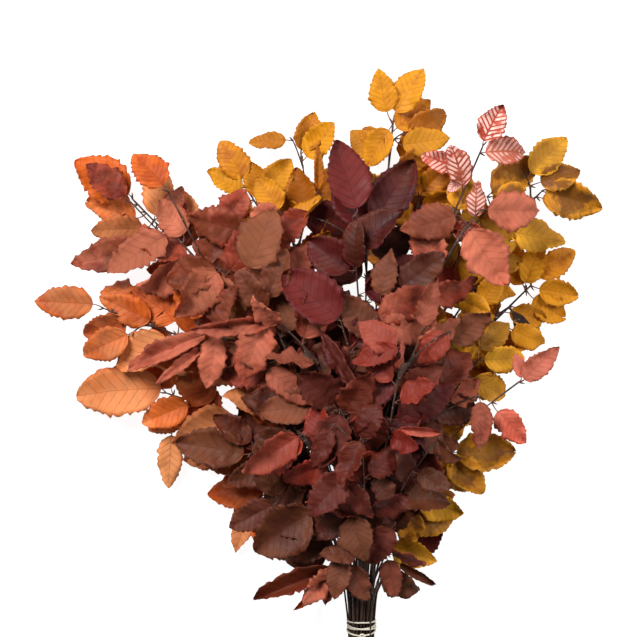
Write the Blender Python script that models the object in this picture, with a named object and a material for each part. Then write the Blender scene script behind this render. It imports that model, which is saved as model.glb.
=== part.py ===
"""A tied bunch of preserved beech branches in autumn colours, lying on a flat surface.

Every branch grew as one piece, so each is one closed body: a stem, its side twigs and their
leaves. All the stems pass through a twine tie, and fan out above it in layers. The model
is in metres, +Z up. The stems run along +Y, from their cut ends to the crown.
"""

import math
import random
from typing import NamedTuple

import bmesh
import bpy
from mathutils import Matrix, Vector
from mathutils.bvhtree import BVHTree

MM = 0.001

# The bundle of stems
STEM_RADIUS = 1.35 * MM
STEM_TIP_RADIUS = 0.95 * MM
STEM_PITCH = 3.15 * MM
BUTT_LENGTH = 104 * MM
BUTT_HEIGHT = 13 * MM
TIE_HEIGHT = 36 * MM
STEM_POINTS = 6
STEM_GAP = 0.15 * MM
STEM_TRIES = 80
STEM_LEAVE_SHARE = 0.36  # of the way to the tip, that a stem goes on straight from the tie
STEM_ARRIVE_SHARE = 0.34
STEM_END_PITCH = 2
WIDEST_SIDEWAYS = 20 * MM
WIDEST_UPWARDS = 30 * MM
BARE_LENGTH = 24 * MM  # of stem above the tie

# Side twigs
TWIG_RADIUS = 1.0 * MM
TWIG_TIP_RADIUS = 0.85 * MM
TWIG_GAP = 0.3 * MM
TWIG_SLANT = 0.8  # how far back along the wood a twig starts, as a share of its gap
TWIG_BOW = 0.14

# The choice of wood for a petiole. The costs are lengths for each radian.
WOOD_STEP = 2 * MM
WOOD_END = 4 * MM
FREE_BEND = 0.8
BEND_COST = 9 * MM
LEAST_SPREAD = 0.5
SPREAD_COST = 20 * MM

# Leaves. A pair is a range, and angles in pairs are in degrees.
LEAF_WIDTH_SHARE = 0.62
MIDRIB_HALF_THICKNESS = 0.45 * MM
PETIOLE_RADIUS = 0.6 * MM
PETIOLE_LENGTH = 7 * MM
LONGEST_PETIOLE = 16 * MM
SHARPEST_BEND = math.radians(62)
ROOT_DEPTH = 1.2 * MM
BLADE_STATIONS = ((0.30, 0.88), (0.68, 0.80))
LEAF_ANGLE = 52
CLEAR_HALF_THICKNESS = 1.1 * MM
LEAST_HEIGHT = 0.6 * MM
PETIOLE_LENGTHS = (0.8, 1.15)
NARROW_SHARE = 0.4
NARROW_FOLDS = (44, 56)
FOLDS = (6, 24)
CURLS = (-12, 44)

# Leaves that show: how far a try may stray from the given place
SHOWN_TRIES = 90
FARTHEST_HEIGHT = 26 * MM
STEEPEST_PITCH = 38
STEEPEST_ROLL = 36
LEAST_FORESHORTENING = 0.8
HEIGHT_SHARE = 0.3  # of a leaf's height, that a straight petiole climbs

# Leaves between them
MORE_TRIES = 44
SHRINK_AFTER = 14
SMALLER = 0.84
MORE_PITCHES = (-22, 10)
ROLL_SPREAD = 16
MORE_WIDTHS = (0.9, 1.08)
MORE_SIZES = (0.86, 1.08)
ANGLE_SPREAD = (-10, 14)
SWING_STEP = 1.9
WIDEST_SWING = 55
WIDEST_PITCH = 50
WIDEST_ROLL = 75
BARE_TIP = 9 * MM

WELD_DISTANCE = 0.01 * MM
SHARP_ANGLE = math.radians(40)

# The crown's lowest and highest layer, at distances from the tie
CROWN_DISTANCES = (0.0, 0.06, 0.12, 0.20, 0.30, 0.45, 0.58)
CROWN_BOTTOMS = (0.024, 0.022, 0.015, 0.009, 0.008, 0.008, 0.010)
CROWN_TOPS = (0.048, 0.078, 0.108, 0.140, 0.150, 0.130, 0.090)

# The twine
TWINE_RADIUS = 0.75 * MM
TWINE_GAP = 0.5 * MM
TWINE_TURNS = 2
TWINE_STEPS_A_TURN = 10
TWINE_RISE = 7 * MM
TWINE_BELOW = 10 * MM
TWINE_TAIL = 26 * MM
TAIL_YAW = 128
TAIL_PITCH = 14
TAIL_BOW = 4 * MM
TAIL_MARKS = (0.3, 0.65, 1.0)
KNOT_RADIUS = 2 * MM

COLOURS = {
    "gold": (0.78, 0.36, 0.02),
    "amber": (0.70, 0.22, 0.05),
    "bronze": (0.25, 0.12, 0.02),
    "russet": (0.46, 0.13, 0.08),
    "coral": (0.60, 0.16, 0.11),
    "umber": (0.16, 0.06, 0.04),
    "burgundy": (0.10, 0.015, 0.02),
    "twine": (0.80, 0.76, 0.66),
}


class Branch(NamedTuple):
    """The plan of one branch. Lengths are in millimetres, from the tie."""

    finish: str
    tip_x: float
    tip_y: float
    aim: float  # degrees from +Y towards +X, at the stem's end
    leafy: float  # length of stem that carries more leaves
    more: int  # how many of them
    leaf: float  # length of their blades
    # The leaves that show: (base x, base y, tip x, tip y, width) of each blade
    leaves: tuple = ()


# One tuple for each layer, from the surface up. In a layer, the stems stand from left to right.
LAYERS = (
    (
        Branch("amber", -183, 196, -70, 150, 6, 54, (
            (-180, 212, -218, 188, 32),
            (-194, 182, -197, 128, 25),
            (-160, 196, -202, 212, 28),
        )),
        Branch("amber", -104, 132, -80, 120, 5, 52, (
            (-97, 140, -155, 130, 36),
            (-110, 122, -128, 62, 27),
            (-105, 112, -98, 67, 25),
            (-40, 24, -72, 4, 14),
        )),
        Branch("gold", -118, 436, -38, 150, 6, 48, (
            (-120, 445, -142, 485, 27),
            (-122, 432, -158, 452, 24),
            (-102, 425, -110, 462, 26),
            (-112, 420, -138, 412, 26),
        )),
        Branch("gold", 60, 452, 18, 150, 6, 48, (
            (50, 455, 80, 432, 26),
            (46, 462, 56, 504, 27),
        )),
        Branch("gold", 174, 336, 52, 150, 6, 46, (
            (168, 338, 186, 383, 26),
            (180, 345, 220, 372, 26),
            (182, 332, 221, 323, 25),
            (176, 322, 208, 300, 27),
        )),
    ),
    (
        Branch("amber", -200, 226, -88, 150, 6, 66, (
            (-204, 230, -294, 230, 46),
            (-176, 226, -222, 206, 30),
            (-150, 220, -196, 250, 36),
        )),
        Branch("amber", -234, 424, -48, 150, 6, 56, (
            (-237, 428, -292, 462, 44),
            (-230, 404, -274, 418, 29),
            (-222, 392, -275, 394, 27),
        )),
        Branch("gold", -62, 470, -8, 150, 6, 48, (
            (-59, 472, -50, 512, 27),
            (-77, 483, -119, 482, 17),
            (-97, 430, -72, 465, 30),
            (-57, 410, -64, 455, 30),
        )),
        Branch("gold", 32, 500, 6, 150, 6, 50, (
            (26, 512, 15, 556, 30),
            (35, 512, 63, 558, 32),
            (33, 506, 8, 472, 28),
            (48, 492, 93, 508, 27),
            (42, 478, 90, 486, 28),
            (16, 470, -12, 494, 28),
        )),
        Branch("bronze", 184, 432, 52, 150, 6, 52, (
            (133, 430, 180, 462, 34),
            (172, 450, 208, 487, 32),
            (187, 430, 247, 416, 40),
            (182, 440, 222, 452, 28),
        )),
        Branch("gold", 150, 314, 66, 150, 6, 46, (
            (150, 320, 173, 292, 26),
            (153, 290, 186, 274, 25),
            (138, 330, 128, 374, 30),
        )),
    ),
    (
        Branch("amber", -262, 312, -84, 160, 7, 56, (
            (-272, 316, -332, 320, 34),
            (-237, 285, -286, 264, 33),
            (-214, 300, -266, 324, 32),
            (-188, 300, -236, 338, 36),
        )),
        Branch("russet", -206, 386, -60, 160, 7, 58, (
            (-240, 425, -278, 458, 28),
            (-225, 374, -294, 352, 34),
            (-200, 400, -182, 436, 22),
        )),
        Branch("gold", -76, 400, -16, 160, 7, 48, (
            (-44, 432, -42, 477, 13),
            (-84, 412, -104, 446, 26),
        )),
        Branch("gold", 58, 424, 14, 160, 7, 48, ((62, 430, 92, 462, 26),)),
        Branch("gold", 118, 340, 38, 160, 7, 46, (
            (108, 335, 116, 382, 28),
            (120, 318, 142, 344, 26),
        )),
        Branch("bronze", 118, 260, 40, 160, 7, 46, (
            (116, 258, 158, 260, 26),
            (120, 272, 150, 300, 27),
            (114, 240, 148, 220, 27),
        )),
        Branch("bronze", 92, 168, 50, 145, 7, 46, (
            (96, 166, 157, 168, 38),
            (90, 160, 120, 122, 31),
            (70, 178, 106, 196, 26),
        )),
        Branch("burgundy", 46, 62, 60, 0, 0, 42, ((43, 60, 78, 90, 30),)),
    ),
    (
        Branch("umber", -112, 166, -86, 155, 7, 59, (
            (-119, 165, -187, 180, 36),
            (-112, 178, -150, 204, 26),
        )),
        Branch("amber", -172, 300, -70, 200, 8, 64, ((-200, 436, -229, 470, 34),)),
        Branch("russet", -176, 372, -46, 200, 8, 64, (
            (-198, 385, -255, 345, 37),
            (-180, 386, -206, 420, 32),
        )),
        Branch("russet", -118, 396, -26, 200, 8, 59, (
            (-140, 396, -116, 432, 34),
            (-120, 404, -92, 418, 24),
        )),
        Branch("burgundy", 6, 398, 2, 200, 8, 64, (
            (13, 400, 50, 464, 44),
            (-58, 406, -4, 398, 36),
        )),
        Branch("bronze", 112, 402, 22, 200, 8, 55, (
            (138, 420, 168, 433, 26),
            (96, 412, 110, 446, 32),
        )),
        Branch("bronze", 56, 114, 48, 80, 5, 47, (
            (58, 116, 103, 106, 28),
            (54, 112, 44, 78, 26),
        )),
        Branch("coral", 158, 238, 60, 200, 0, 47, (
            (163, 240, 196, 276, 23),
            (160, 242, 157, 268, 12),
            (136, 208, 165, 177, 27),
        )),
    ),
    (
        Branch("umber", -92, 122, -64, 105, 6, 57, ((-84, 130, -128, 108, 30),)),
        Branch("russet", -150, 286, -98, 220, 9, 61, (
            (-157, 285, -242, 256, 26),
            (-160, 272, -207, 234, 18),
            (-147, 283, -149, 227, 30),
        )),
        Branch("russet", -142, 352, -50, 220, 9, 64, (
            (-147, 352, -197, 338, 36),
            (-145, 348, -188, 304, 40),
            (-139, 345, -155, 302, 34),
        )),
        Branch("burgundy", -10, 404, -6, 220, 9, 64, (
            (-5, 412, -27, 480, 42),
            (-14, 350, -54, 382, 38),
        )),
        Branch("coral", 122, 476, 26, 220, 5, 49, (
            (122, 480, 140, 517, 28),
            (96, 452, 60, 468, 20),
            (98, 440, 86, 428, 12),
            (114, 404, 114, 440, 20),
        )),
        Branch("umber", 84, 262, 30, 220, 9, 53, ((90, 278, 126, 310, 32),)),
        Branch("russet", 88, 222, 50, 195, 8, 51, (
            (78, 235, 110, 272, 30),
            (118, 218, 120, 168, 24),
        )),
    ),
    (
        Branch("umber", -70, 196, -44, 160, 7, 55, ((-50, 214, -104, 210, 32),)),
        Branch("umber", -104, 338, -20, 240, 9, 61, (
            (-112, 352, -87, 415, 42),
            (-98, 320, -80, 368, 30),
        )),
        Branch("russet", -84, 300, -60, 240, 9, 61, (
            (-88, 312, -172, 300, 28),
            (-100, 295, -117, 237, 42),
            (-94, 250, -50, 214, 24),
        )),
        Branch("burgundy", -22, 300, -24, 240, 9, 59, ((-24, 302, -78, 348, 44),)),
        Branch("umber", 20, 316, 4, 240, 9, 55, (
            (18, 325, 28, 372, 26),
            (38, 332, 83, 365, 32),
        )),
        Branch("russet", 104, 396, 40, 240, 9, 57, (
            (112, 402, 148, 346, 42),
            (125, 410, 183, 406, 36),
            (92, 404, 38, 386, 36),
        )),
    ),
    (
        Branch("umber", -46, 112, -45, 75, 5, 53, ((-44, 112, -102, 78, 48),)),
        Branch("coral", -60, 188, -60, 150, 8, 53, (
            (-62, 190, -117, 156, 32),
            (-66, 196, -28, 182, 14),
        )),
        Branch("russet", -22, 214, -24, 170, 8, 55, (
            (-22, 214, -36, 160, 34),
            (-8, 232, -44, 294, 17),
        )),
        Branch("burgundy", 36, 250, 20, 205, 9, 53, (
            (36, 202, 93, 237, 34),
            (48, 242, 12, 214, 28),
        )),
        Branch("russet", 60, 292, 24, 230, 10, 55, (
            (16, 304, 68, 326, 30),
            (18, 296, 78, 284, 30),
            (70, 290, 80, 338, 24),
        )),
        Branch("umber", 78, 186, 44, 160, 8, 51),
    ),
    (
        Branch("russet", -24, 54, -60, 10, 0, 50, (
            (-24, 56, -103, 25, 34),
            (-26, 50, -62, 18, 22),
            (-25, 50, -38, 14, 15),
        )),
        Branch("umber", -6, 108, -16, 60, 4, 44, (
            (-10, 104, -2, 62, 32),
            (-17, 106, -52, 78, 26),
            (14, 150, 30, 112, 22),
            (-20, 62, -27, 22, 23),
        )),
        Branch("russet", -1, 187, 8, 95, 5, 46, (
            (-18, 146, -54, 106, 34),
            (0, 190, -18, 144, 25),
            (-17, 137, 13, 106, 26),
            (-32, 192, -50, 152, 22),
        )),
        Branch("coral", 40, 276, 8, 110, 6, 48, (
            (40, 276, -8, 260, 22),
            (83, 286, 52, 258, 24),
            (35, 192, 78, 188, 13),
        )),
        Branch("russet", 34, 100, 10, 60, 4, 44, (
            (38, 98, 10, 60, 28),
            (20, 64, 29, 25, 21),
        )),
        Branch("umber", 18, 44, 60, 0, 0, 44, (
            (20, 40, 60, 28, 28),
            (38, 55, 74, 32, 13),
            (-14, 54, 8, 18, 26),
        )),
    ),
)


class Leaf(NamedTuple):
    """A leaf's place: its petiole goes from root to base, and its blade ahead from there."""

    root: Vector
    base: Vector
    ahead: Vector
    side: Vector
    up: Vector
    length: float
    width: float
    fold: float
    curl: float


def clear_scene():
    for obj in list(bpy.data.objects):
        bpy.data.objects.remove(obj, do_unlink=True)


def between(value, places, values):
    """The value that a graph of straight lines gives."""
    for i in range(1, len(places)):
        if value <= places[i]:
            share = (value - places[i - 1]) / (places[i] - places[i - 1])
            return values[i - 1] + share * (values[i] - values[i - 1])
    return values[-1]


def heading(yaw, pitch):
    """The direction at yaw degrees from +Y towards +X, and pitch degrees up."""
    a, p = math.radians(yaw), math.radians(pitch)
    return Vector((math.sin(a) * math.cos(p), math.cos(a) * math.cos(p), math.sin(p)))


def bezier(a, b, c, d, t):
    s = 1 - t
    return a * s**3 + b * 3 * s * s * t + c * 3 * s * t * t + d * t**3


class Route:
    """A line through points, read by the distance along it."""

    def __init__(self, points):
        self.points = points
        self.marks = [0.0]
        for a, b in zip(points, points[1:]):
            self.marks.append(self.marks[-1] + (b - a).length)

    @property
    def length(self):
        return self.marks[-1]

    def at(self, distance):
        """(point, direction) at that distance from the start."""
        distance = min(max(distance, 0.0), self.length)
        for i in range(1, len(self.marks)):
            if distance <= self.marks[i] or i == len(self.marks) - 1:
                span = self.points[i] - self.points[i - 1]
                share = (distance - self.marks[i - 1]) / max(span.length, 1e-9)
                return self.points[i - 1] + span * share, span.normalized()


class Clearance:
    """The space that is already taken, as small closed meshes with their owners."""

    def __init__(self):
        self.taken = []
        self.shown = []

    @staticmethod
    def box(points):
        low = [min(p[k] for p in points) for k in range(3)]
        high = [max(p[k] for p in points) for k in range(3)]
        return low, high

    def take(self, points, faces, owner, shown=False):
        entry = (*self.box(points), BVHTree.FromPolygons(points, faces), owner)
        self.taken.append(entry)
        if shown:
            self.shown.append(entry)

    def meets(self, points, faces, skip=None):
        """Whether this mesh cuts one that is in place, other than those of the owner to skip."""
        low, high = self.box(points)
        tree = None
        for other_low, other_high, other, owner in self.taken:
            if owner == skip or any(
                low[k] > other_high[k] or high[k] < other_low[k] for k in range(3)
            ):
                continue
            tree = tree or BVHTree.FromPolygons(points, faces)
            if tree.overlap(other):
                return True
        return False

    def covers(self, points):
        """Whether any of these points is straight above a leaf that shows."""
        for low, high, tree, _ in self.shown:
            for p in points:
                if low[0] < p.x < high[0] and low[1] < p.y < high[1] and p.z > low[2]:
                    if tree.ray_cast(p, Vector((0, 0, -1)))[0] is not None:
                        return True
        return False


def ring_faces(count, sides):
    """Faces of a closed loft of count rings, with flat ends."""
    faces = [tuple(reversed(range(sides)))]
    for ring in range(count - 1):
        for k in range(sides):
            a, b = ring * sides + k, ring * sides + (k + 1) % sides
            faces.append((a, b, b + sides, a + sides))
    last = (count - 1) * sides
    faces.append(tuple(range(last, last + sides)))
    return faces


def tube_mesh(points, radius, sides=6):
    """A plain tube along points, for the clearance test."""
    ringed = []
    for i, point in enumerate(points):
        ahead = (points[min(i + 1, len(points) - 1)] - points[max(i - 1, 0)]).normalized()
        side = ahead.cross(Vector((0, 0, 1))).normalized()
        up = side.cross(ahead)
        for k in range(sides):
            angle = 2 * math.pi * k / sides
            ringed.append(point + (side * math.cos(angle) + up * math.sin(angle)) * radius)
    return ringed, ring_faces(len(points), sides)


def blade_ring(leaf, share, half_width, half_thickness):
    """Four points round the blade at a share of its length: right, top, left, bottom."""
    bend = leaf.curl * share
    if abs(leaf.curl) < 1e-4:
        middle = leaf.base + leaf.ahead * leaf.length * share
    else:
        reach = leaf.length / leaf.curl
        middle = leaf.base + leaf.ahead * (reach * math.sin(bend))
        middle = middle - leaf.up * (reach * (1 - math.cos(bend)))
    up = leaf.up * math.cos(bend) + leaf.ahead * math.sin(bend)
    across = leaf.side * (half_width * math.cos(leaf.fold))
    raised = up * (half_width * math.sin(leaf.fold))
    return [
        middle + across + raised,
        middle + up * half_thickness,
        middle - across + raised,
        middle - up * half_thickness,
    ]


def petiole_ring(leaf, place, along):
    """Three points round the petiole: right, left, bottom."""
    side = (leaf.side - along * leaf.side.dot(along)).normalized()
    up = side.cross(along)
    return [place + d * PETIOLE_RADIUS for d in (side + up * 0.5, up * 0.5 - side, -up)]


def petiole_mesh(leaf):
    """(points, faces) of the petiole: a three-sided bar that starts inside the wood."""
    along = (leaf.base - leaf.root).normalized()
    points = petiole_ring(leaf, leaf.root, along)
    points += petiole_ring(leaf, leaf.base, (along + leaf.ahead).normalized())
    return points, ring_faces(2, 3)


def leaf_mesh(leaf, half_thickness=MIDRIB_HALF_THICKNESS):
    """(points, faces) of a leaf: its petiole, a folded and curled blade, and a pointed tip."""
    points, faces = petiole_mesh(leaf)
    first = len(points)
    for share, width_share in BLADE_STATIONS:
        points += blade_ring(leaf, share, width_share * leaf.width / 2, half_thickness)
    points.append(sum(blade_ring(leaf, 1.0, 0.0, 0.0), Vector()) / 4)
    right, top, left, bottom = range(first, first + 4)
    faces = faces[:-1]
    faces += [(3, 5, bottom, right), (5, 4, left, bottom), (3, right, top), (3, top, 4), (4, top, left)]
    faces += [tuple(first + k for k in face) for face in ring_faces(len(BLADE_STATIONS), 4)[1:-1]]
    last = len(points) - 5
    faces += [(last + k, last + (k + 1) % 4, last + 4) for k in range(4)]
    return points, faces


def blade_envelope(leaf):
    """The blade alone, thicker than it is, so that its neighbours keep off it."""
    points, faces = leaf_mesh(leaf, CLEAR_HALF_THICKNESS)
    blade = [tuple(k - 3 for k in face) for face in faces if min(face) >= 3]
    return points[3:], [(0, 1, 2), *blade]


def leaf_at(root, base, yaw, pitch, roll, length, width, rng):
    ahead = heading(yaw, pitch)
    if base is None or (base - root).length < MM or (base - root).angle(ahead) > SHARPEST_BEND:
        base = root + ahead * PETIOLE_LENGTH * rng.uniform(*PETIOLE_LENGTHS)
    level = heading(yaw + 90, 0)
    up = level.cross(ahead)
    r = math.radians(roll)
    return Leaf(
        root=root,
        base=base,
        ahead=ahead,
        side=level * math.cos(r) + up * math.sin(r),
        up=up * math.cos(r) - level * math.sin(r),
        length=length,
        width=width,
        fold=math.radians(rng.uniform(*(FOLDS if width > NARROW_SHARE * length else NARROW_FOLDS))),
        curl=math.radians(rng.uniform(*CURLS)),
    )


def fits(leaf, space, owner):
    """Whether the leaf meets nothing that is in place."""
    blade, faces = blade_envelope(leaf)
    if min(p.z for p in blade) < LEAST_HEIGHT or space.meets(blade, faces):
        return False
    stalk, stalk_faces = petiole_mesh(leaf)
    return not space.meets(stalk, stalk_faces, skip=owner)


def take_leaf(leaf, space, owner, shown=False):
    """Takes the leaf's space. Its branch's wood may meet its petiole, and nothing may meet its blade."""
    blade, faces = blade_envelope(leaf)
    space.take(blade, faces, "blade", shown)
    stalk, stalk_faces = petiole_mesh(leaf)
    space.take(stalk, stalk_faces, owner)


def free_leaf(root, yaw, length, rng, space, owner):
    """A leaf near this yaw that meets nothing and hides no leaf that shows, or None.

    Each try turns it further, and the late tries are smaller.
    """
    pitch, roll = rng.uniform(*MORE_PITCHES), rng.gauss(0, ROLL_SPREAD)
    width = length * LEAF_WIDTH_SHARE * rng.uniform(*MORE_WIDTHS)
    for k in range(MORE_TRIES):
        swing = SWING_STEP * k
        size = 1 if k < SHRINK_AFTER else SMALLER
        leaf = leaf_at(
            root,
            None,
            yaw + rng.uniform(-1, 1) * min(swing, WIDEST_SWING),
            pitch + rng.uniform(-1, 1) * min(swing, WIDEST_PITCH),
            roll + rng.uniform(-1, 1) * min(1.4 * swing, WIDEST_ROLL),
            length * size,
            width * size,
            rng,
        )
        middles = [leaf.base + leaf.ahead * leaf.length * share for share in (0.3, 0.6, 0.9)]
        if not space.covers(middles) and fits(leaf, space, owner):
            take_leaf(leaf, space, owner)
            return leaf
    return None


def slots():
    """Each stem's place in the bundle, (x, z) from its middle: one closely packed row for each layer."""
    rise = STEM_PITCH * math.sqrt(3) / 2
    middle = (len(LAYERS) - 1) / 2
    return [
        [((k - (len(row) - 1) / 2) * STEM_PITCH, (i - middle) * rise) for k in range(len(row))]
        for i, row in enumerate(LAYERS)
    ]


def crown_height(distance, layer):
    low = between(distance, CROWN_DISTANCES, CROWN_BOTTOMS)
    high = between(distance, CROWN_DISTANCES, CROWN_TOPS)
    return low + (high - low) * (layer + 0.4) / len(LAYERS)


def stem_route(plan, layer, slot, shift):
    """The stem's line: straight through the bundle, then a smooth bend out to its tip."""
    x, z = slot
    butt = Vector((x, -BUTT_LENGTH, BUTT_HEIGHT + z))
    tie = Vector((x, 0, TIE_HEIGHT + z))
    distance = math.hypot(plan.tip_x, plan.tip_y) * MM
    tip = Vector((plan.tip_x * MM, plan.tip_y * MM, crown_height(distance, layer)))
    along = (tie - butt).normalized()
    reach = (tip - tie).length
    leave = tie + along * reach * STEM_LEAVE_SHARE + shift
    arrive = tip - heading(plan.aim, STEM_END_PITCH) * reach * STEM_ARRIVE_SHARE + shift
    curve = [bezier(tie, leave, arrive, tip, k / (STEM_POINTS - 2)) for k in range(STEM_POINTS - 1)]
    return Route([butt, *curve])


def lay_stems(space):
    """Every stem's route. A stem that would meet one laid before it bends a little differently."""
    routes = {}
    for layer, (row, places) in enumerate(zip(LAYERS, slots())):
        for k, (plan, slot) in enumerate(zip(row, places)):
            rng = random.Random(f"stem {layer} {k}")
            for step in range(STEM_TRIES):
                sideways = rng.uniform(-1, 1) * min(0.5 * step * MM, WIDEST_SIDEWAYS)
                upwards = rng.uniform(-1, 1) * min(step * MM, WIDEST_UPWARDS)
                route = stem_route(plan, layer, slot, Vector((sideways, 0, upwards)))
                tube, faces = tube_mesh(route.points[1:], STEM_RADIUS + STEM_GAP)
                if not space.meets(tube, faces):
                    break
            else:
                print("no clear way for", layer, k, plan.finish)
            space.take(tube, faces, (layer, k))
            routes[layer, k] = route
    return routes


def wood_near(wood, base, ahead):
    """(gap, route, distance along it) of the best wood for a petiole, as seen from above.

    The gap is how far the wood is from the leaf's base. A petiole that would have to bend
    sharply, or run along the wood, counts as further away.
    """
    best = None
    for i, route in enumerate(wood):
        mark = 0.0 if i else BUTT_LENGTH + BARE_LENGTH
        while mark <= route.length:
            point, along = route.at(mark)
            span = Vector((base.x - point.x, base.y - point.y, 0))
            gap = span.length
            score = gap
            if gap > MM:
                score += BEND_COST * max(span.angle(ahead) - FREE_BEND, 0)
                if mark < route.length - WOOD_END:
                    score += SPREAD_COST * max(LEAST_SPREAD - span.angle(along), 0)
            if best is None or score < best[0]:
                best = (score, gap, route, mark)
            mark += WOOD_STEP
    return best[1:]


def side_petiole(route, mark, base, height):
    """(root, base) of a leaf whose petiole comes straight from the wood."""
    if mark > route.length - WOOD_END:
        end, along = route.at(route.length)
        root = end - along * ROOT_DEPTH
    else:
        root, _ = route.at(mark)
    return root, Vector((base.x, base.y, root.z + HEIGHT_SHARE * height))


def side_twig(route, mark, back, base, ahead, height):
    """(twig, root, base) of a leaf at the end of a side twig, which starts back along the wood."""
    least = BUTT_LENGTH + BARE_LENGTH if route.length > BUTT_LENGTH + BARE_LENGTH else 0.0
    start, along = route.at(max(mark - back, least))
    base = Vector((base.x, base.y, start.z + height))
    end = base - ahead * PETIOLE_LENGTH
    middle = start + (end - start) * 0.5 + along * (end - start).length * TWIG_BOW
    twig = Route([start, middle, end])
    return twig, end + (middle - end).normalized() * ROOT_DEPTH, base


def shown_leaf(place, wood, rng, space, owner):
    """A leaf at a given place, with a side twig where the wood is far from it."""
    base_x, base_y, tip_x, tip_y, width = (value * MM for value in place)
    at = Vector((base_x, base_y, 0))
    yaw = math.degrees(math.atan2(tip_x - base_x, tip_y - base_y))
    length = math.hypot(tip_x - base_x, tip_y - base_y)
    gap, route, mark = wood_near(wood, at, heading(yaw, 0))
    for k in range(SHOWN_TRIES):
        height = rng.uniform(-1, 1) * min(0.6 * k * MM, FARTHEST_HEIGHT)
        pitch = rng.uniform(-1, 1) * min(6 + 0.6 * k, STEEPEST_PITCH)
        if gap > LONGEST_PETIOLE:
            back = gap * TWIG_SLANT * (1 - k / SHOWN_TRIES)
            twig, root, base = side_twig(route, mark, back, at, heading(yaw, 0), height)
            tube, faces = tube_mesh(twig.points, TWIG_RADIUS + TWIG_GAP)
            if min(p.z for p in tube) < LEAST_HEIGHT or space.meets(tube, faces, skip=owner):
                continue
        else:
            twig = None
            root, base = side_petiole(route, mark, at, height)
        stretch = 1 / max(math.cos(math.radians(pitch)), LEAST_FORESHORTENING)
        leaf = leaf_at(
            root,
            base,
            yaw + rng.uniform(-1, 1) * 0.15 * k,
            pitch,
            rng.uniform(-1, 1) * min(8 + 0.4 * k, STEEPEST_ROLL),
            length * stretch,
            width,
            rng,
        )
        if twig and BVHTree.FromPolygons(*blade_envelope(leaf)).overlap(BVHTree.FromPolygons(tube, faces)):
            continue
        if fits(leaf, space, owner):
            take_leaf(leaf, space, owner, shown=True)
            if twig:
                space.take(tube, faces, owner)
                wood.append(twig)
            return leaf
    print("no room for a leaf at", place)
    return None


def grow_shown(plan, wood, rng, space, owner):
    """The leaves of one branch that have a given place."""
    made = [shown_leaf(place, wood, rng, space, owner) for place in plan.leaves]
    return [leaf for leaf in made if leaf]


def grow_more(plan, route, rng, space, owner):
    """More leaves in turn to each side of a branch's stem, from its tip down."""
    first = max(route.length - plan.leafy * MM, BUTT_LENGTH + BARE_LENGTH)
    last = route.length - BARE_TIP
    side = rng.choice((-1, 1))
    made = []
    for k in range(plan.more):
        start, along = route.at(last - (last - first) * k / plan.more)
        yaw = math.degrees(math.atan2(along.x, along.y))
        turn = side * (LEAF_ANGLE + rng.uniform(*ANGLE_SPREAD))
        size = plan.leaf * MM * rng.uniform(*MORE_SIZES)
        made.append(free_leaf(start, yaw + turn, size, rng, space, owner))
        side = -side
    return [leaf for leaf in made if leaf]


def material(name):
    made = bpy.data.materials.get(name) or bpy.data.materials.new(name)
    made.use_nodes = True
    shader = made.node_tree.nodes["Principled BSDF"]
    shader.inputs["Base Color"].default_value = (*COLOURS[name], 1)
    shader.inputs["Roughness"].default_value = 0.75 if name == "twine" else 0.5
    shader.inputs["Metallic"].default_value = 0.0
    return made


def wood_mesh(routes, bevel_resolution, collection):
    """A mesh of tubes (route, first radius, last radius), each capped at its ends."""
    curve = bpy.data.curves.new("wood", "CURVE")
    curve.dimensions = "3D"
    curve.bevel_depth = 1.0
    curve.bevel_resolution = bevel_resolution
    curve.use_fill_caps = True
    for route, thick, thin in routes:
        spline = curve.splines.new("POLY")
        spline.points.add(len(route.points) - 1)
        for point, place, mark in zip(spline.points, route.points, route.marks):
            point.co = (*place, 1)
            point.radius = thick + (thin - thick) * mark / route.length
    return curve_to_mesh(curve, collection)


def curve_to_mesh(curve, collection):
    """The curve's own surface as a mesh, with its caps welded on."""
    holder = bpy.data.objects.new("holder", curve)
    collection.objects.link(holder)
    graph = bpy.context.evaluated_depsgraph_get()
    mesh = bpy.data.meshes.new_from_object(holder.evaluated_get(graph))
    bpy.data.objects.remove(holder)
    bpy.data.curves.remove(curve)
    edit = bmesh.new()
    edit.from_mesh(mesh)
    bmesh.ops.remove_doubles(edit, verts=edit.verts, dist=WELD_DISTANCE)
    bmesh.ops.recalc_face_normals(edit, faces=edit.faces)
    edit.to_mesh(mesh)
    edit.free()
    return mesh


def branch_mesh(wood, leaves, collection):
    """One mesh of a branch's stem, twigs and leaves, each of which is still a closed shape."""
    edit = bmesh.new()
    edit.from_mesh(wood_mesh([(wood[0], STEM_RADIUS, STEM_TIP_RADIUS)], 0, collection))
    twigs = [(twig, TWIG_RADIUS, TWIG_TIP_RADIUS) for twig in wood[1:]]
    if twigs:
        edit.from_mesh(wood_mesh(twigs, 0, collection))
    for leaf in leaves:
        points, faces = leaf_mesh(leaf)
        corners = [edit.verts.new(p) for p in points]
        for face in faces:
            edit.faces.new([corners[k] for k in face])
    bmesh.ops.recalc_face_normals(edit, faces=edit.faces)
    mesh = bpy.data.meshes.new("branch")
    edit.to_mesh(mesh)
    edit.free()
    return mesh


def one_body(name, mesh, finish, collection):
    """An object whose mesh is the union of all the closed shapes in a mesh."""
    obj = bpy.data.objects.new(name, mesh)
    collection.objects.link(obj)
    tool = bpy.data.objects.new(name + "_tool", bpy.data.meshes.new("nothing"))
    collection.objects.link(tool)
    join = obj.modifiers.new("join", "BOOLEAN")
    join.operation = "UNION"
    join.solver = "EXACT"
    join.use_self = True
    join.object = tool
    graph = bpy.context.evaluated_depsgraph_get()
    mesh = bpy.data.meshes.new_from_object(obj.evaluated_get(graph))
    obj.modifiers.clear()
    obj.data = mesh
    bpy.data.objects.remove(tool)
    mesh.materials.clear()
    mesh.materials.append(material(finish))
    mesh.shade_smooth()
    mesh.set_sharp_from_angle(angle=SHARP_ANGLE)
    return obj


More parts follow.
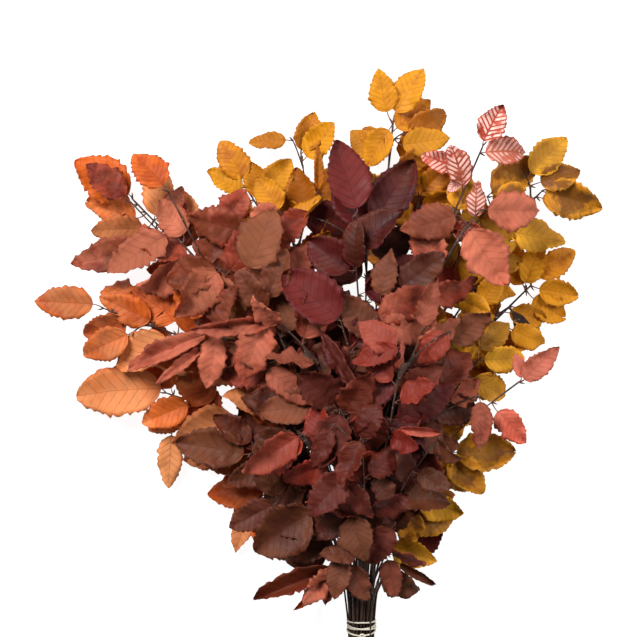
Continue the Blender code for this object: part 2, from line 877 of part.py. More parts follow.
def twine_frame():
    """(middle, along, up) of the twine's turns, just below where the stems part."""
    tilt = math.atan2(TIE_HEIGHT - BUTT_HEIGHT, BUTT_LENGTH)
    along = Vector((0, math.cos(tilt), math.sin(tilt)))
    up = Vector((0, -math.sin(tilt), math.cos(tilt)))
    return Vector((0, 0, TIE_HEIGHT)) - along * TWINE_BELOW, along, up


def twine_route(bundle_radius):
    """The twine's line: some turns up the bundle, the same number back down across them, and two tails."""
    middle, along, up = twine_frame()
    steps = TWINE_STEPS_A_TURN * 2 * TWINE_TURNS
    points = []
    for k in range(steps + 1):
        share = k / steps
        angle = 2 * math.pi * 2 * TWINE_TURNS * share
        rise = (1 - abs(2 * share - 1)) * TWINE_RISE * TWINE_TURNS - TWINE_RISE
        radius = bundle_radius + TWINE_RADIUS + TWINE_GAP + TWINE_RADIUS * share
        out = Vector((math.sin(angle), 0, 0)) + up * math.cos(angle)
        points.append(middle + out * radius + along * rise)
    tails = []
    for place, side in ((points[0], -1), (points[-1], 1)):
        aim = heading(side * TAIL_YAW, TAIL_PITCH)
        bow = Vector((0, 0, TAIL_BOW))
        tails.append([place + aim * TWINE_TAIL * t + bow * t * (1 - t) for t in TAIL_MARKS])
    return Route([*reversed(tails[0]), *points, *tails[1]])


def make_tie(collection, bundle_radius):
    """The twine with a knot on the bunch's upper side."""
    route = twine_route(bundle_radius)
    edit = bmesh.new()
    edit.from_mesh(wood_mesh([(route, TWINE_RADIUS, TWINE_RADIUS)], 1, collection))
    middle, along, up = twine_frame()
    place = middle + up * (bundle_radius + 2 * TWINE_RADIUS + TWINE_GAP) - along * TWINE_RISE
    bmesh.ops.create_icosphere(edit, subdivisions=2, radius=KNOT_RADIUS, matrix=Matrix.Translation(place))
    mesh = bpy.data.meshes.new("tie")
    edit.to_mesh(mesh)
    edit.free()
    return one_body("twine_tie", mesh, "twine", collection)


def settle(objects):
    """Moves the whole bunch so that its lowest point is at height 0, over the middle of its outline."""
    corners = [vertex.co for obj in objects for vertex in obj.data.vertices]
    low, high = Clearance.box(corners)
    shift = Vector(((low[0] + high[0]) / 2, (low[1] + high[1]) / 2, low[2]))
    for obj in objects:
        for vertex in obj.data.vertices:
            vertex.co -= shift


def main():
    clear_scene()
    collection = bpy.data.collections.new("beech_bunch")
    bpy.context.scene.collection.children.link(collection)
    space = Clearance()
    bundle_radius = max(math.hypot(*slot) for row in slots() for slot in row) + STEM_RADIUS
    routes = lay_stems(space)
    tube, faces = tube_mesh(twine_route(bundle_radius).points, TWINE_RADIUS + TWIG_GAP)
    space.take(tube, faces, "twine")
    plans = {(i, k): plan for i, row in enumerate(LAYERS) for k, plan in enumerate(row)}
    rngs = {owner: random.Random(f"{plan.finish} {owner}") for owner, plan in plans.items()}
    wood = {owner: [routes[owner]] for owner in plans}
    leaves = {}
    for owner, plan in plans.items():
        leaves[owner] = grow_shown(plan, wood[owner], rngs[owner], space, owner)
    for owner, plan in plans.items():
        leaves[owner] += grow_more(plan, routes[owner], rngs[owner], space, owner)
    made, counts = [], {}
    for owner, plan in plans.items():
        counts[plan.finish] = counts.get(plan.finish, 0) + 1
        name = f"{plan.finish}_branch_{counts[plan.finish]}"
        mesh = branch_mesh(wood[owner], leaves[owner], collection)
        made.append(one_body(name, mesh, plan.finish, collection))
    made.append(make_tie(collection, bundle_radius))
    settle(made)
    print(len(made), "bodies,", sum(map(len, leaves.values())), "leaves")


main()
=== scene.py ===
"""The looks of a tied bunch of preserved beech branches in autumn colours.

Each branch of the frame says where its leaves stand, how long and wide they are and how they bend.
Geometry Nodes grow a veined beech leaf with its petiole on each of those places, and a bud beside
it. The wood is the frame's own, made round. A twisted twine holds the bunch.
"""

import functools
import math
import random
from typing import NamedTuple

import bmesh
import bpy
from mathutils import Matrix, Vector


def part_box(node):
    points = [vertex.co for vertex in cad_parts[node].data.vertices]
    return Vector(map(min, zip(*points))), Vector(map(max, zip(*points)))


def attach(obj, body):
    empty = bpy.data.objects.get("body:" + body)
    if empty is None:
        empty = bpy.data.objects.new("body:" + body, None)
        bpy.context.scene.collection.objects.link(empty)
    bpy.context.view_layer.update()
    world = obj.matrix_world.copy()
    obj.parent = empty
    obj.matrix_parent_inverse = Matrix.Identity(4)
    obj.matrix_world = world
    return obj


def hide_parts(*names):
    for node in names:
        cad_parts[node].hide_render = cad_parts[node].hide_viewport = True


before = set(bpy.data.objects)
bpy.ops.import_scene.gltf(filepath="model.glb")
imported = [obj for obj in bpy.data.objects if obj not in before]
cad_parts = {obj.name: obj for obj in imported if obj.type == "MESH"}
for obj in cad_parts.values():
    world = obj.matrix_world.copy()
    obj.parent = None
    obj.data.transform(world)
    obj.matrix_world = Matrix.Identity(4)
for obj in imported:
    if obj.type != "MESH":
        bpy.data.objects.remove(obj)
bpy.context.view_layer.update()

bl_info = {
    "name": "Autumn Beech Bunch",
    "version": (1, 0, 0),
    "blender": (4, 5, 0),
    "location": "View3D > Sidebar > Beech Bunch",
    "description": "Grows the leaves, wood, buds and tie of a bunch of autumn branches on its frame",
    "category": "Add Mesh",
}

MM = 0.001
BODY = "root"
TIE = "twine_tie"
MERGE_DISTANCE = 0.01 * MM

# How the frame draws a leaf: rings of four points at these shares of its length, with these
# shares of its width, from a ring of three points where the blade starts to a single tip.
RING_SHARES = (0.30, 0.68)
RING_WIDTHS = (0.88, 0.80)
SHORTEST_POINT = 3.5 * MM
CUT_STALK = 6 * MM

# The grid that a blade is drawn on, and the rod that a stalk is drawn on
ACROSS_POINTS = 11
ALONG_POINTS = 37
STALK_SIDES = 6
STALK_STEPS = 6
STALK_DEPTH = 1.2 * MM

# How much closer the grid's lines are near the midrib, and near the base and the tip
RIB_CROWDING = 1.35
END_CROWDING = 0.4

# A blade's outline is along ** BASE_POWER * (1 - along) ** a power near TIP_POWER
BASE_POWER = 0.52
TIP_POWER, TIP_SPREAD = 0.68, 0.24
OUTLINE_SCALE, OUTLINE_LEAST = 2.34, 0.012
HALF_WIDTH = 0.56
VEIN_SLANT = 0.72
NARROW = 0.001

# The noise that nibbles, tears and buckles a blade: its scale and how strongly it acts. Each leaf
# lies this far apart in it, times its own chances.
NIBBLES = 330.0, 0.20
TEARS = 120.0, 0.22
BUCKLES = 46.0, 3.4
CREASE_DEPTH = 1.8
TOOTH_DEPTH = 0.05
LEAVES_APART = (8.0, 9.0, 7.0)

# The margin's waves along a blade, least and spread, where they start, and one half's lag
WAVES, WAVES_SPREAD = 1.1, 1.6
WAVE_START = 5.0
WAVE_LAG = 0.25

# How the height grows: a stiff base, pleats away from the midrib, and a raised tapering rib
RIB_ROUNDING = 1.4 * MM
STIFF_BASE = 6.0
BUCKLE_AT_RIB = 0.25
PLEAT_START, PLEAT_FADE = 7.0, 0.6
RIB_NARROWING, RIB_TAPER, RIB_HEIGHT = 9.0, 1.15, 1.6

# How far chance turns each leaf: its rims' roll, its twist in radians, and its sway aside
ROLL, LEVEL_ROLL = 0.3, 0.42
TWIST = 1.3
SWAY = 0.14
LEAST_CURL = 0.0007
LEAST_LIFT = 1.1

# A stalk's knee before the blade, and how much thicker it is at the wood
KNEE = 0.4
FOOT_SWELL, FOOT_POWER = 0.9, 3.0

# A stem's cut end: how squarely it faces the bunch's foot, and how far from the foot it may be
CUT_FACING = -0.8
CUT_REACH = 4 * MM
FLAT_ENOUGH = 35

# A bud: its mesh, how it leans from the leaf's stalk, and where and how fast it is thick
BUD_SIDES = 5
BUD_STEPS = 5
BUD_LEAN = 35
BUD_BELLY, BUD_REACH = 0.42, 1.08
BUD_TAPER = 2.4
BUD_TIP = 0.1

# How deeply painted shade darkens a leaf in the heart of the bunch, a range that chance picks from, how
# deeply chance dyes any leaf, and how far coral is bleached
PAINTED_HEART_SHADE = (0.65, 1.25)
DYED_ASTRAY = 0.35
BLEACHED_SHARE = (0.25, 0.8)

# The bundle that the twine holds: its radius, how it rises to the crown, and the twine's winding
BUNDLE_RADIUS = 12.8 * MM
BUNDLE_RISE = math.atan2(23, 104)
TWINE_STRANDS = 3
TWINE_SIDES = 8
TWINE_STEP = 0.11
STRANDS_APART = 1.08
TWINE_STEPS_A_TURN = 24
TWINE_PITCH = 7 * MM
TWINE_LAYERS = (1.33 * MM, 2.09 * MM)
KNOT_SIZE = 2.6 * MM
KNOT_LOOPS = 2
KNOT_STEPS = 30
TAIL_LENGTH = 26 * MM
TAIL_STEPS = 12
TAIL_YAW = 128
TAIL_PITCH = 14
TAIL_BOW = 4 * MM


class Finish(NamedTuple):
    """What the leaves of a dye look like. Colours are sRGB, from 0 to 255; the rest are shares."""

    body: tuple
    deep: tuple
    light: tuple
    vein: tuple
    margin: tuple
    veins: float
    dust: float
    # heart: how far the third tone mixes in the deep colour; that tone is painted shade in the heart of the
    # bunch with a random depth of dye
    heart: float
    browned: float
    crumple: float
    ragged: float
    blotch: float = 0.6
    roughness: float = 0.55


FINISHES = {
    "gold": Finish(
        body=(192, 118, 8), deep=(144, 66, 10), light=(224, 160, 30), vein=(160, 86, 10),
        margin=(172, 92, 12), veins=0.3, dust=0.25, heart=0.2,
        browned=0.25, crumple=1.8, ragged=1.4,
    ),
    "amber": Finish(
        body=(204, 94, 28), deep=(146, 50, 16), light=(246, 182, 122), vein=(132, 52, 18),
        margin=(164, 62, 20), veins=0.3, dust=0.25, heart=0.8,
        browned=0.35, crumple=2.0, ragged=1.6,
    ),
    "russet": Finish(
        body=(152, 60, 38), deep=(72, 20, 12), light=(222, 126, 96), vein=(96, 34, 22),
        margin=(112, 40, 24), veins=0.1, dust=0.5, heart=0.95,
        browned=0.5, crumple=3.6, ragged=3.0,
    ),
    "coral": Finish(
        body=(188, 72, 48), deep=(106, 28, 18), light=(238, 142, 118), vein=(136, 44, 30),
        margin=(160, 54, 38), blotch=0.45, veins=0.15, dust=0.4, heart=1.0,
        browned=0.4, crumple=2.8, ragged=2.2,
    ),
    "umber": Finish(
        body=(100, 44, 26), deep=(50, 18, 12), light=(160, 92, 62), vein=(64, 26, 16),
        margin=(78, 34, 20), veins=0.15, dust=0.35, heart=0.6,
        browned=0.5, crumple=3.0, ragged=2.2,
    ),
    "burgundy": Finish(
        body=(84, 15, 15), deep=(30, 5, 7), light=(132, 46, 40), vein=(40, 8, 10),
        margin=(60, 10, 12), veins=0.25, dust=0.2, heart=0.5,
        browned=0.3, roughness=0.5, crumple=1.4, ragged=0.9,
    ),
    "bronze": Finish(
        body=(206, 134, 22), deep=(82, 40, 12), light=(242, 178, 44), vein=(124, 72, 16),
        margin=(212, 142, 26), blotch=0.8, veins=0.3, dust=0.35, heart=0.4,
        browned=0.5, crumple=1.8, ragged=1.3,
    ),
}
DRIED_BROWN = (104, 56, 24)
BLEACHED = (250, 214, 202)
PETIOLE_COLOURS = (112, 52, 34), (70, 34, 26)
BARK_SHADE = (44, 28, 20)
BARK_LICHEN = (128, 112, 96)
CUT_COLOURS = (196, 164, 118), (142, 108, 72)
TWINE_WORN = (196, 186, 164)

# The leaf's patterns: the width of a side vein in vein phases, and the scales of net and blotches
VEIN_WIDTH = 0.09
NET_SCALE = 900.0
BLOTCH_SCALE = 55.0

# Where the painted shade is deepest: the middle of the bunch's dark heart, and how far it reaches
SHADED_HEART = Vector((0.035, -0.06, 0.0))
SHADED_HEART_REACH = Vector((0.105, 0.175, 0.0))
# Coral leaves above this place are bleached between their veins
BLEACHED_FROM = 0.13

# The stage: the crown's middle, which the camera looks at, the floor, and where each lamp stands
CROWN = Vector((0.0006, 0.0750, 0.080))
FLOOR_SIZE = 8.0
FLOOR_SHADE = 0.25
FLOOR_GLOW = 0.92
KEY_PLACE, KEY_SIZE = (-1.6, 1.8, 2.7), 1.5
FILL_PLACE, FILL_SIZE = (2.4, 0.9, 2.2), 1.6


# ---- Settings ----


def small(name, description, default, least=0.0):
    """A setting for a length of a few millimetres or less."""
    return bpy.props.FloatProperty(
        name=name, description=description, default=default, min=least, unit="LENGTH", precision=5
    )


class LeafSettings(bpy.types.PropertyGroup):
    """How every leaf is shaped."""

    vein_pairs: bpy.props.FloatProperty(
        name="Vein Pairs", description="Side veins on each half", default=8.0, min=3.0, max=14.0
    )
    pleat_depth: small("Pleat Depth", "How far the blade rises between two side veins", 0.42 * MM)
    margin_wave: small("Margin Wave", "How far the blade's margin waves up and down", 1.6 * MM)
    crumple: small("Crumple", "How far drying has buckled the blade", 1.5 * MM)
    thickness: small("Thickness", "Thickness of the blade", 0.3 * MM, 0.05 * MM)
    petiole_radius: small("Petiole Radius", "Radius of a leaf's stalk", 0.5 * MM, 0.1 * MM)
    seed: bpy.props.IntProperty(name="Seed", description="Start of the random draws", default=11)


class WoodSettings(bpy.types.PropertyGroup):
    """How the stems, twigs and buds are finished."""

    swell: small("Swell", "How far the bark stands out before it is rounded", 0.15 * MM)
    smoothness: bpy.props.IntProperty(
        name="Smoothness", description="How many times the wood is subdivided", default=2, min=0, max=3
    )
    bud_length: small("Bud Length", "Length of a winter bud", 7 * MM)
    bud_radius: small("Bud Radius", "Radius of a winter bud", 0.9 * MM)
    bark: bpy.props.FloatVectorProperty(
        name="Bark", description="Colour of the bark", subtype="COLOR_GAMMA", default=(0.28, 0.19, 0.15)
    )


class TwineSettings(bpy.types.PropertyGroup):
    """How the tie is made."""

    strand_radius: small("Strand Radius", "Radius of each of the twine's three strands", 0.42 * MM, 0.1 * MM)
    lay: small("Lay", "Length of twine in which its strands turn once", 5 * MM, 1 * MM)
    turns: bpy.props.IntProperty(name="Turns", description="Turns up the bundle, and again down", default=2)
    colour: bpy.props.FloatVectorProperty(
        name="Colour", description="Colour of the twine", subtype="COLOR_GAMMA", default=(0.90, 0.88, 0.82)
    )


class StageSettings(bpy.types.PropertyGroup):
    """The floor, the lights and the camera."""

    camera_height: bpy.props.FloatProperty(
        name="Camera Height", description="Height over the crown", default=3.0, unit="LENGTH"
    )
    view_width: bpy.props.FloatProperty(
        name="View Width", description="Width that is seen at the crown", default=0.640, unit="LENGTH"
    )
    room_light: bpy.props.FloatProperty(name="Room Light", description="Strength of the world", default=0.17)
    key_power: bpy.props.FloatProperty(
        name="Key Light", description="Power of the main lamp", default=180.0, unit="POWER"
    )
    fill_power: bpy.props.FloatProperty(
        name="Fill Light", description="Power of the second lamp", default=75.0, unit="POWER"
    )


# ---- Reading the frame ----


class Leaf(NamedTuple):
    """A leaf's place: its stalk goes from root to base, and its blade ahead from there."""

    root: Vector
    base: Vector
    ahead: Vector
    across: Vector
    up: Vector
    length: float
    width: float
    fold: float
    curl: float


def middle(points):
    """The mean place of points."""
    return sum((point.co for point in points), Vector()) / len(points)


def rings_from(tip):
    """The rings of points around a blade, from its tip to its stalk's root, or None."""
    rings, seen = [{tip}], {tip}
    for _ in range(4):
        ring = {edge.other_vert(point) for point in rings[-1] for edge in point.link_edges} - seen
        rings.append(ring)
        seen |= ring
    blade = [len(ring) for ring in rings[:3]] == [1, 4, 4]
    shortest = min((point.co - tip.co).length for point in rings[1])
    return rings if blade and shortest > SHORTEST_POINT else None


def across_ring(ring):
    """(middle of the midrib, half the rims' distance, how far the rims stand above the midrib)."""
    points = sorted(ring, key=lambda point: tuple(point.co))
    pairs = [(a, b) for i, a in enumerate(points) for b in points[i + 1 :]]
    rims = max(pairs, key=lambda pair: (pair[0].co - pair[1].co).length)
    rib = middle([point for point in points if point not in rims])
    return rib, (rims[0].co - rims[1].co).length / 2, middle(rims) - rib


def read_leaf(rings):
    """The leaf that these rings draw: its blade is an arc that bends down, with raised rims."""
    (tip,), outer, inner, base_ring, root_ring = rings
    near, far = RING_SHARES
    near_rib, near_span, near_raised = across_ring(inner)
    far_rib, far_span, far_raised = across_ring(outer)
    first, last = far_rib - near_rib, tip.co - far_rib
    across = first.cross(near_raised).normalized()
    curl = math.atan2(-first.cross(last).dot(across), first.dot(last)) / ((1 - near) / 2)
    ahead = Matrix.Rotation(curl * (near + far) / 2, 3, across) @ first.normalized()
    half_turn = curl * (far - near) / 2
    chord = math.sin(half_turn) / half_turn if abs(half_turn) > 1e-6 else 1.0
    length = first.length / ((far - near) * chord)
    if len(base_ring) == 3:
        base, root = middle(base_ring), middle(root_ring)
    else:
        start = Matrix.Rotation(-curl * near / 2, 3, across) @ ahead
        base = near_rib - start * near * length
        root = base - ahead * CUT_STALK
    widths = (
        2 * math.hypot(near_span, near_raised.length) / RING_WIDTHS[0],
        2 * math.hypot(far_span, far_raised.length) / RING_WIDTHS[1],
    )
    return Leaf(
        root=root + (root - base).normalized() * STALK_DEPTH,
        base=base,
        ahead=ahead,
        across=across,
        up=across.cross(ahead),
        length=length,
        width=sum(widths) / 2,
        fold=math.atan2(near_raised.length, near_span),
        curl=curl,
    )


def cap_openings(edit):
    """Closes each opening that is left with a fan of faces round its middle."""
    rims = [edge for edge in edit.edges if edge.is_boundary]
    while rims:
        opening = [rims.pop()]
        for edge in opening:
            beside = [rim for rim in rims if set(rim.verts) & set(edge.verts)]
            rims = [rim for rim in rims if rim not in beside]
            opening.extend(beside)
        centre = edit.verts.new(middle({point for edge in opening for point in edge.verts}))
        for edge in opening:
            edit.faces.new((*edge.verts, centre))


@functools.cache
def read_branch(node):
    """(leaves, bare wood as a mesh) of one branch of the frame."""
    edit = bmesh.new()
    edit.from_mesh(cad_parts[node].data)
    bmesh.ops.remove_doubles(edit, verts=edit.verts, dist=MERGE_DISTANCE)
    leaves, blades = [], set()
    for point in edit.verts:
        rings = rings_from(point) if len(point.link_edges) == 4 else None
        if rings:
            leaves.append(read_leaf(rings))
            blades.update(*rings[: 4 if len(rings[3]) == 3 else 3])
    bmesh.ops.delete(edit, geom=list(blades), context="VERTS")
    bmesh.ops.holes_fill(edit, edges=edit.edges, sides=0)
    cap_openings(edit)
    bmesh.ops.recalc_face_normals(edit, faces=edit.faces)
    wood = bpy.data.meshes.new(node + "_wood")
    edit.to_mesh(wood)
    edit.free()
    return leaves, wood


def branch_nodes():
    """The frame's nodes that are branches, each with its leaves."""
    return [node for node in sorted(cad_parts) if node != TIE]


def finish_of(node):
    """A branch's dye, which its node is named for."""
    return node.split("_")[0]


# ---- Node trees ----


class Field:
    """A value in a node tree. Python's operators on it add the nodes that work it out."""

    def __init__(self, tree, socket):
        self.tree, self.socket = tree, socket

    def math(self, operation, *others, first=None):
        values = (first, self) if first is not None else (self, *others)
        return field(self.tree, "ShaderNodeMath", "Value", enumerate(values), operation=operation)

    def __add__(self, other):
        return self.math("ADD", other)

    def __sub__(self, other):
        return self.math("SUBTRACT", other)

    def __rsub__(self, other):
        return self.math("SUBTRACT", first=other)

    def __mul__(self, other):
        return self.math("MULTIPLY", other)

    def __truediv__(self, other):
        return self.math("DIVIDE", other)

    def __pow__(self, other):
        return self.math("POWER", other)


def plug(tree, value, pin):
    """Links a field, or another socket, to a node's input, or sets the input to a plain value."""
    if isinstance(value, Field):
        tree.links.new(value.socket, pin)
    elif isinstance(value, bpy.types.NodeSocket):
        tree.links.new(value, pin)
    else:
        pin.default_value = value


def wire(tree, node, inputs):
    """The node, with its inputs plugged by name or by number."""
    for pin, value in dict(inputs).items():
        plug(tree, value, node.inputs[pin])
    return node


def add(tree, kind, inputs=(), **settings):
    """A new node with its settings made and its inputs plugged."""
    node = tree.nodes.new(kind)
    for name, value in settings.items():
        setattr(node, name, value)
    return wire(tree, node, inputs)


def field(tree, kind, output, inputs=(), **settings):
    """One output of a new node, as a field."""
    return Field(tree, add(tree, kind, inputs, **settings).outputs[output])


def vector(tree, operation, a, b):
    """Vector arithmetic on two fields."""
    pins = {0: a, "Scale": b} if operation == "SCALE" else {0: a, 1: b}
    return field(tree, "ShaderNodeVectorMath", "Vector", pins, operation=operation)


def offset(tree, origin, *steps):
    """origin moved by each (direction, distance) of steps."""
    for direction, distance in steps:
        origin = vector(tree, "ADD", origin, vector(tree, "SCALE", direction, distance))
    return origin


def new_tree(name, kind, inputs, outputs):
    """(tree, its input fields by name, its output node). A tree of that name is made anew."""
    old = bpy.data.node_groups.get(name)
    if old:
        bpy.data.node_groups.remove(old)
    tree = bpy.data.node_groups.new(name, kind)
    for label, (socket, value) in inputs.items():
        made = tree.interface.new_socket(label, in_out="INPUT", socket_type=socket)
        if value is not None:
            made.default_value = value
    for label, socket in outputs.items():
        tree.interface.new_socket(label, in_out="OUTPUT", socket_type=socket)
    start, end = tree.nodes.new("NodeGroupInput"), tree.nodes.new("NodeGroupOutput")
    fields = {label: Field(tree, start.outputs[label]) for label in inputs}
    return tree, fields, end


def named(tree, name, kind="FLOAT"):
    """An attribute of a geometry, as a field."""
    return field(tree, "GeometryNodeInputNamedAttribute", "Attribute", {"Name": name}, data_type=kind)


def store(tree, geometry, name, value, kind="FLOAT"):
    """The geometry with a value kept at its points, as an attribute."""
    inputs = {"Geometry": geometry, "Name": name, "Value": value}
    node = add(tree, "GeometryNodeStoreNamedAttribute", inputs, data_type=kind, domain="POINT")
    return node.outputs["Geometry"]


def on_anchors(tree, anchors, shape):
    """A copy of shape at every anchor, as one mesh. Its points keep their first place as "unit"."""
    place = tree.nodes.new("GeometryNodeInputPosition").outputs["Position"]
    marked = store(tree, shape, "unit", place, "FLOAT_VECTOR")
    spread = add(tree, "GeometryNodeInstanceOnPoints", {"Points": anchors, "Instance": marked})
    return add(tree, "GeometryNodeRealizeInstances", {0: spread.outputs["Instances"]}).outputs[0]


def finished(tree, geometry, position, material):
    """The geometry with its points moved, shaded smooth, and made of that material."""
    moved = add(tree, "GeometryNodeSetPosition", {"Geometry": geometry, "Position": position})
    smooth = add(tree, "GeometryNodeSetShadeSmooth", {"Geometry": moved.outputs["Geometry"]})
    inputs = {"Geometry": smooth.outputs["Geometry"], "Material": material}
    return add(tree, "GeometryNodeSetMaterial", inputs).outputs["Geometry"]


def split(tree, value):
    """The three numbers of a vector field."""
    node = add(tree, "ShaderNodeSeparateXYZ", {0: value})
    return [Field(tree, output) for output in node.outputs]


# ---- Leaves ----


def blade_grid(tree):
    """(side, rim, along, under) of a blade's points, from -1 or 0 to 1.

    They are the half of the blade, the way to its rim and to its tip, and its lower or upper face.
    """
    grid_x, grid_y, grid_z = split(tree, named(tree, "unit", "FLOAT_VECTOR"))
    even = grid_y + 0.5
    eased = 0.5 - (even * math.pi).math("COSINE") * 0.5
    along = even * (1 - END_CROWDING) + eased * END_CROWDING
    return grid_x.math("SIGN"), grid_x.math("ABSOLUTE") ** RIB_CROWDING, along, grid_z * 2.0


def leaf_noise(tree, place, scale, detail):
    """Noise about 0 over a leaf."""
    return field(tree, "ShaderNodeTexNoise", 0, {"Vector": place, "Scale": scale, "Detail": detail}) - 0.5


def blade_outline(tree, sizes, grid, chances):
    """(distance from the midrib, vein phase) of a blade's points on its smooth outline."""
    _, rim, along, _ = grid
    tip = (1 + NARROW - along) ** (chances[1] * TIP_SPREAD + TIP_POWER)
    outline = (along + NARROW) ** BASE_POWER * tip * OUTLINE_SCALE + OUTLINE_LEAST
    half = named(tree, "leaf_width") * outline * HALF_WIDTH * rim
    phase = (along - half / named(tree, "leaf_length") * VEIN_SLANT) * sizes["Vein Pairs"]
    return half, phase


def blade_height(tree, sizes, grid, chances, half, pleat, buckle):
    """How far a blade's points stand over the midrib's arc."""
    side, rim, along, under = grid
    rounded = (half * half + RIB_ROUNDING**2).math("SQRT") - RIB_ROUNDING
    roll = rim * rim * rim * named(tree, "leaf_width") * (chances[0] - LEVEL_ROLL) * ROLL
    turns = along * (chances[1] * WAVES_SPREAD + WAVES) + chances[0] * WAVE_START
    turns += side * chances[2] * WAVE_LAG
    wave = (turns * (2 * math.pi)).math("SINE") * rim * rim * sizes["Margin Wave"]
    loose = buckle * (rim * (1 - BUCKLE_AT_RIB) + BUCKLE_AT_RIB) * sizes["Crumple"]
    free = (along * STIFF_BASE).math("MINIMUM", 1.0)
    pleated = pleat * sizes["Pleat Depth"] * (rim * PLEAT_START).math("MINIMUM", 1.0)
    pleated *= 1.0 - along * PLEAT_FADE
    rib = (rim * -RIB_NARROWING).math("EXPONENT") * (RIB_TAPER - along) * sizes["Thickness"] * RIB_HEIGHT
    skin = under * sizes["Thickness"] * 0.5 + (under - 1.0) * rib * 0.5
    folded = rounded * named(tree, "leaf_fold").math("SINE")
    return folded + (roll + wave + loose) * free - pleated + skin


def blade_bent(tree, grid, chances, reach, height):
    """The place of a blade's points, twisted, swaying aside and bent along the leaf's arc."""
    _, _, along, _ = grid
    length = named(tree, "leaf_length")
    twist = (chances[2] - 0.5) * TWIST * along
    turn_cos, turn_sin = twist.math("COSINE"), twist.math("SINE")
    sway = along * along * length * (chances[1] - 0.5) * SWAY
    sideways = reach * turn_cos - height * turn_sin + sway
    upwards = reach * turn_sin + height * turn_cos
    full = named(tree, "leaf_curl") + LEAST_CURL
    bend = full * along
    radius = length / full
    return offset(
        tree,
        named(tree, "leaf_base", "FLOAT_VECTOR"),
        (named(tree, "leaf_across", "FLOAT_VECTOR"), sideways),
        (named(tree, "leaf_ahead", "FLOAT_VECTOR"), (radius + upwards) * bend.math("SINE")),
        (named(tree, "leaf_up", "FLOAT_VECTOR"), (radius + upwards) * bend.math("COSINE") - radius),
    )


def blade_position(tree, sizes):
    """(position, vein phase, distance from the midrib in mm, along, rim) of a blade's points."""
    grid = blade_grid(tree)
    side, rim, along, under = grid
    chances = split(tree, named(tree, "leaf_chance", "FLOAT_VECTOR"))
    half, phase = blade_outline(tree, sizes, grid, chances)
    pleat = (phase * (2 * math.pi)).math("COSINE")

    apart = [chance * far for chance, far in zip(chances, LEAVES_APART)]
    spread = {0: side * half + apart[1], 1: along * named(tree, "leaf_length") + apart[2], 2: apart[0]}
    place = field(tree, "ShaderNodeCombineXYZ", 0, spread)
    nibbles, tears, buckles = (
        leaf_noise(tree, place, scale, detail)
        for (scale, _), detail in ((NIBBLES, 2.0), (TEARS, 2.0), (BUCKLES, 1.5))
    )
    torn = (nibbles * NIBBLES[1] + tears * TEARS[1]) * sizes["Ragged"] + pleat * TOOTH_DEPTH
    reach = half * (torn * rim * rim * rim + 1.0) * side * named(tree, "leaf_fold").math("COSINE")
    buckle = buckles * BUCKLES[1] + tears * CREASE_DEPTH
    height = blade_height(tree, sizes, grid, chances, half, pleat, buckle)
    x, y, z = split(tree, blade_bent(tree, grid, chances, reach, height))

    # A blade that would dip under the surface lies on it
    lowest = (under + LEAST_LIFT) * sizes["Thickness"] * 0.5
    position = field(tree, "ShaderNodeCombineXYZ", 0, {0: x, 1: y, 2: z.math("MAXIMUM", lowest)})
    return position, phase, half * (1 / MM), along, rim


def crossed(tree, a, b):
    """The unit vector across two fields."""
    product = vector(tree, "CROSS_PRODUCT", a, b)
    return field(tree, "ShaderNodeVectorMath", 0, {0: product}, operation="NORMALIZE")


def stalk_position(tree, radius):
    """The points of a stalk: a rod that leaves the wood thick and bends into the blade's line."""
    grid_x, grid_y, grid_z = split(tree, named(tree, "unit", "FLOAT_VECTOR"))
    root, base = named(tree, "leaf_root", "FLOAT_VECTOR"), named(tree, "leaf_base", "FLOAT_VECTOR")
    ahead, across = named(tree, "leaf_ahead", "FLOAT_VECTOR"), named(tree, "leaf_across", "FLOAT_VECTOR")
    share = grid_z + 0.5
    span = vector(tree, "SUBTRACT", base, root)
    gap = field(tree, "ShaderNodeVectorMath", "Value", {0: span}, operation="LENGTH")
    knee = offset(tree, base, (ahead, gap * -KNEE))
    first = offset(tree, root, (vector(tree, "SUBTRACT", knee, root), share))
    second = offset(tree, knee, (vector(tree, "SUBTRACT", base, knee), share))
    line = offset(tree, first, (vector(tree, "SUBTRACT", second, first), share))
    up = crossed(tree, across, span)
    side = crossed(tree, up, span)
    thick = radius * (((1.0 - share) ** FOOT_POWER) * FOOT_SWELL + 1.0)
    return offset(tree, line, (side, grid_x * thick), (up, grid_y * thick))


def unit_rod(tree, sides, steps):
    """A rod of radius 1 along z, from -0.5 to 0.5."""
    pins = {"Vertices": sides, "Side Segments": steps, "Radius": 1.0, "Depth": 1.0}
    return add(tree, "GeometryNodeMeshCylinder", pins).outputs["Mesh"]


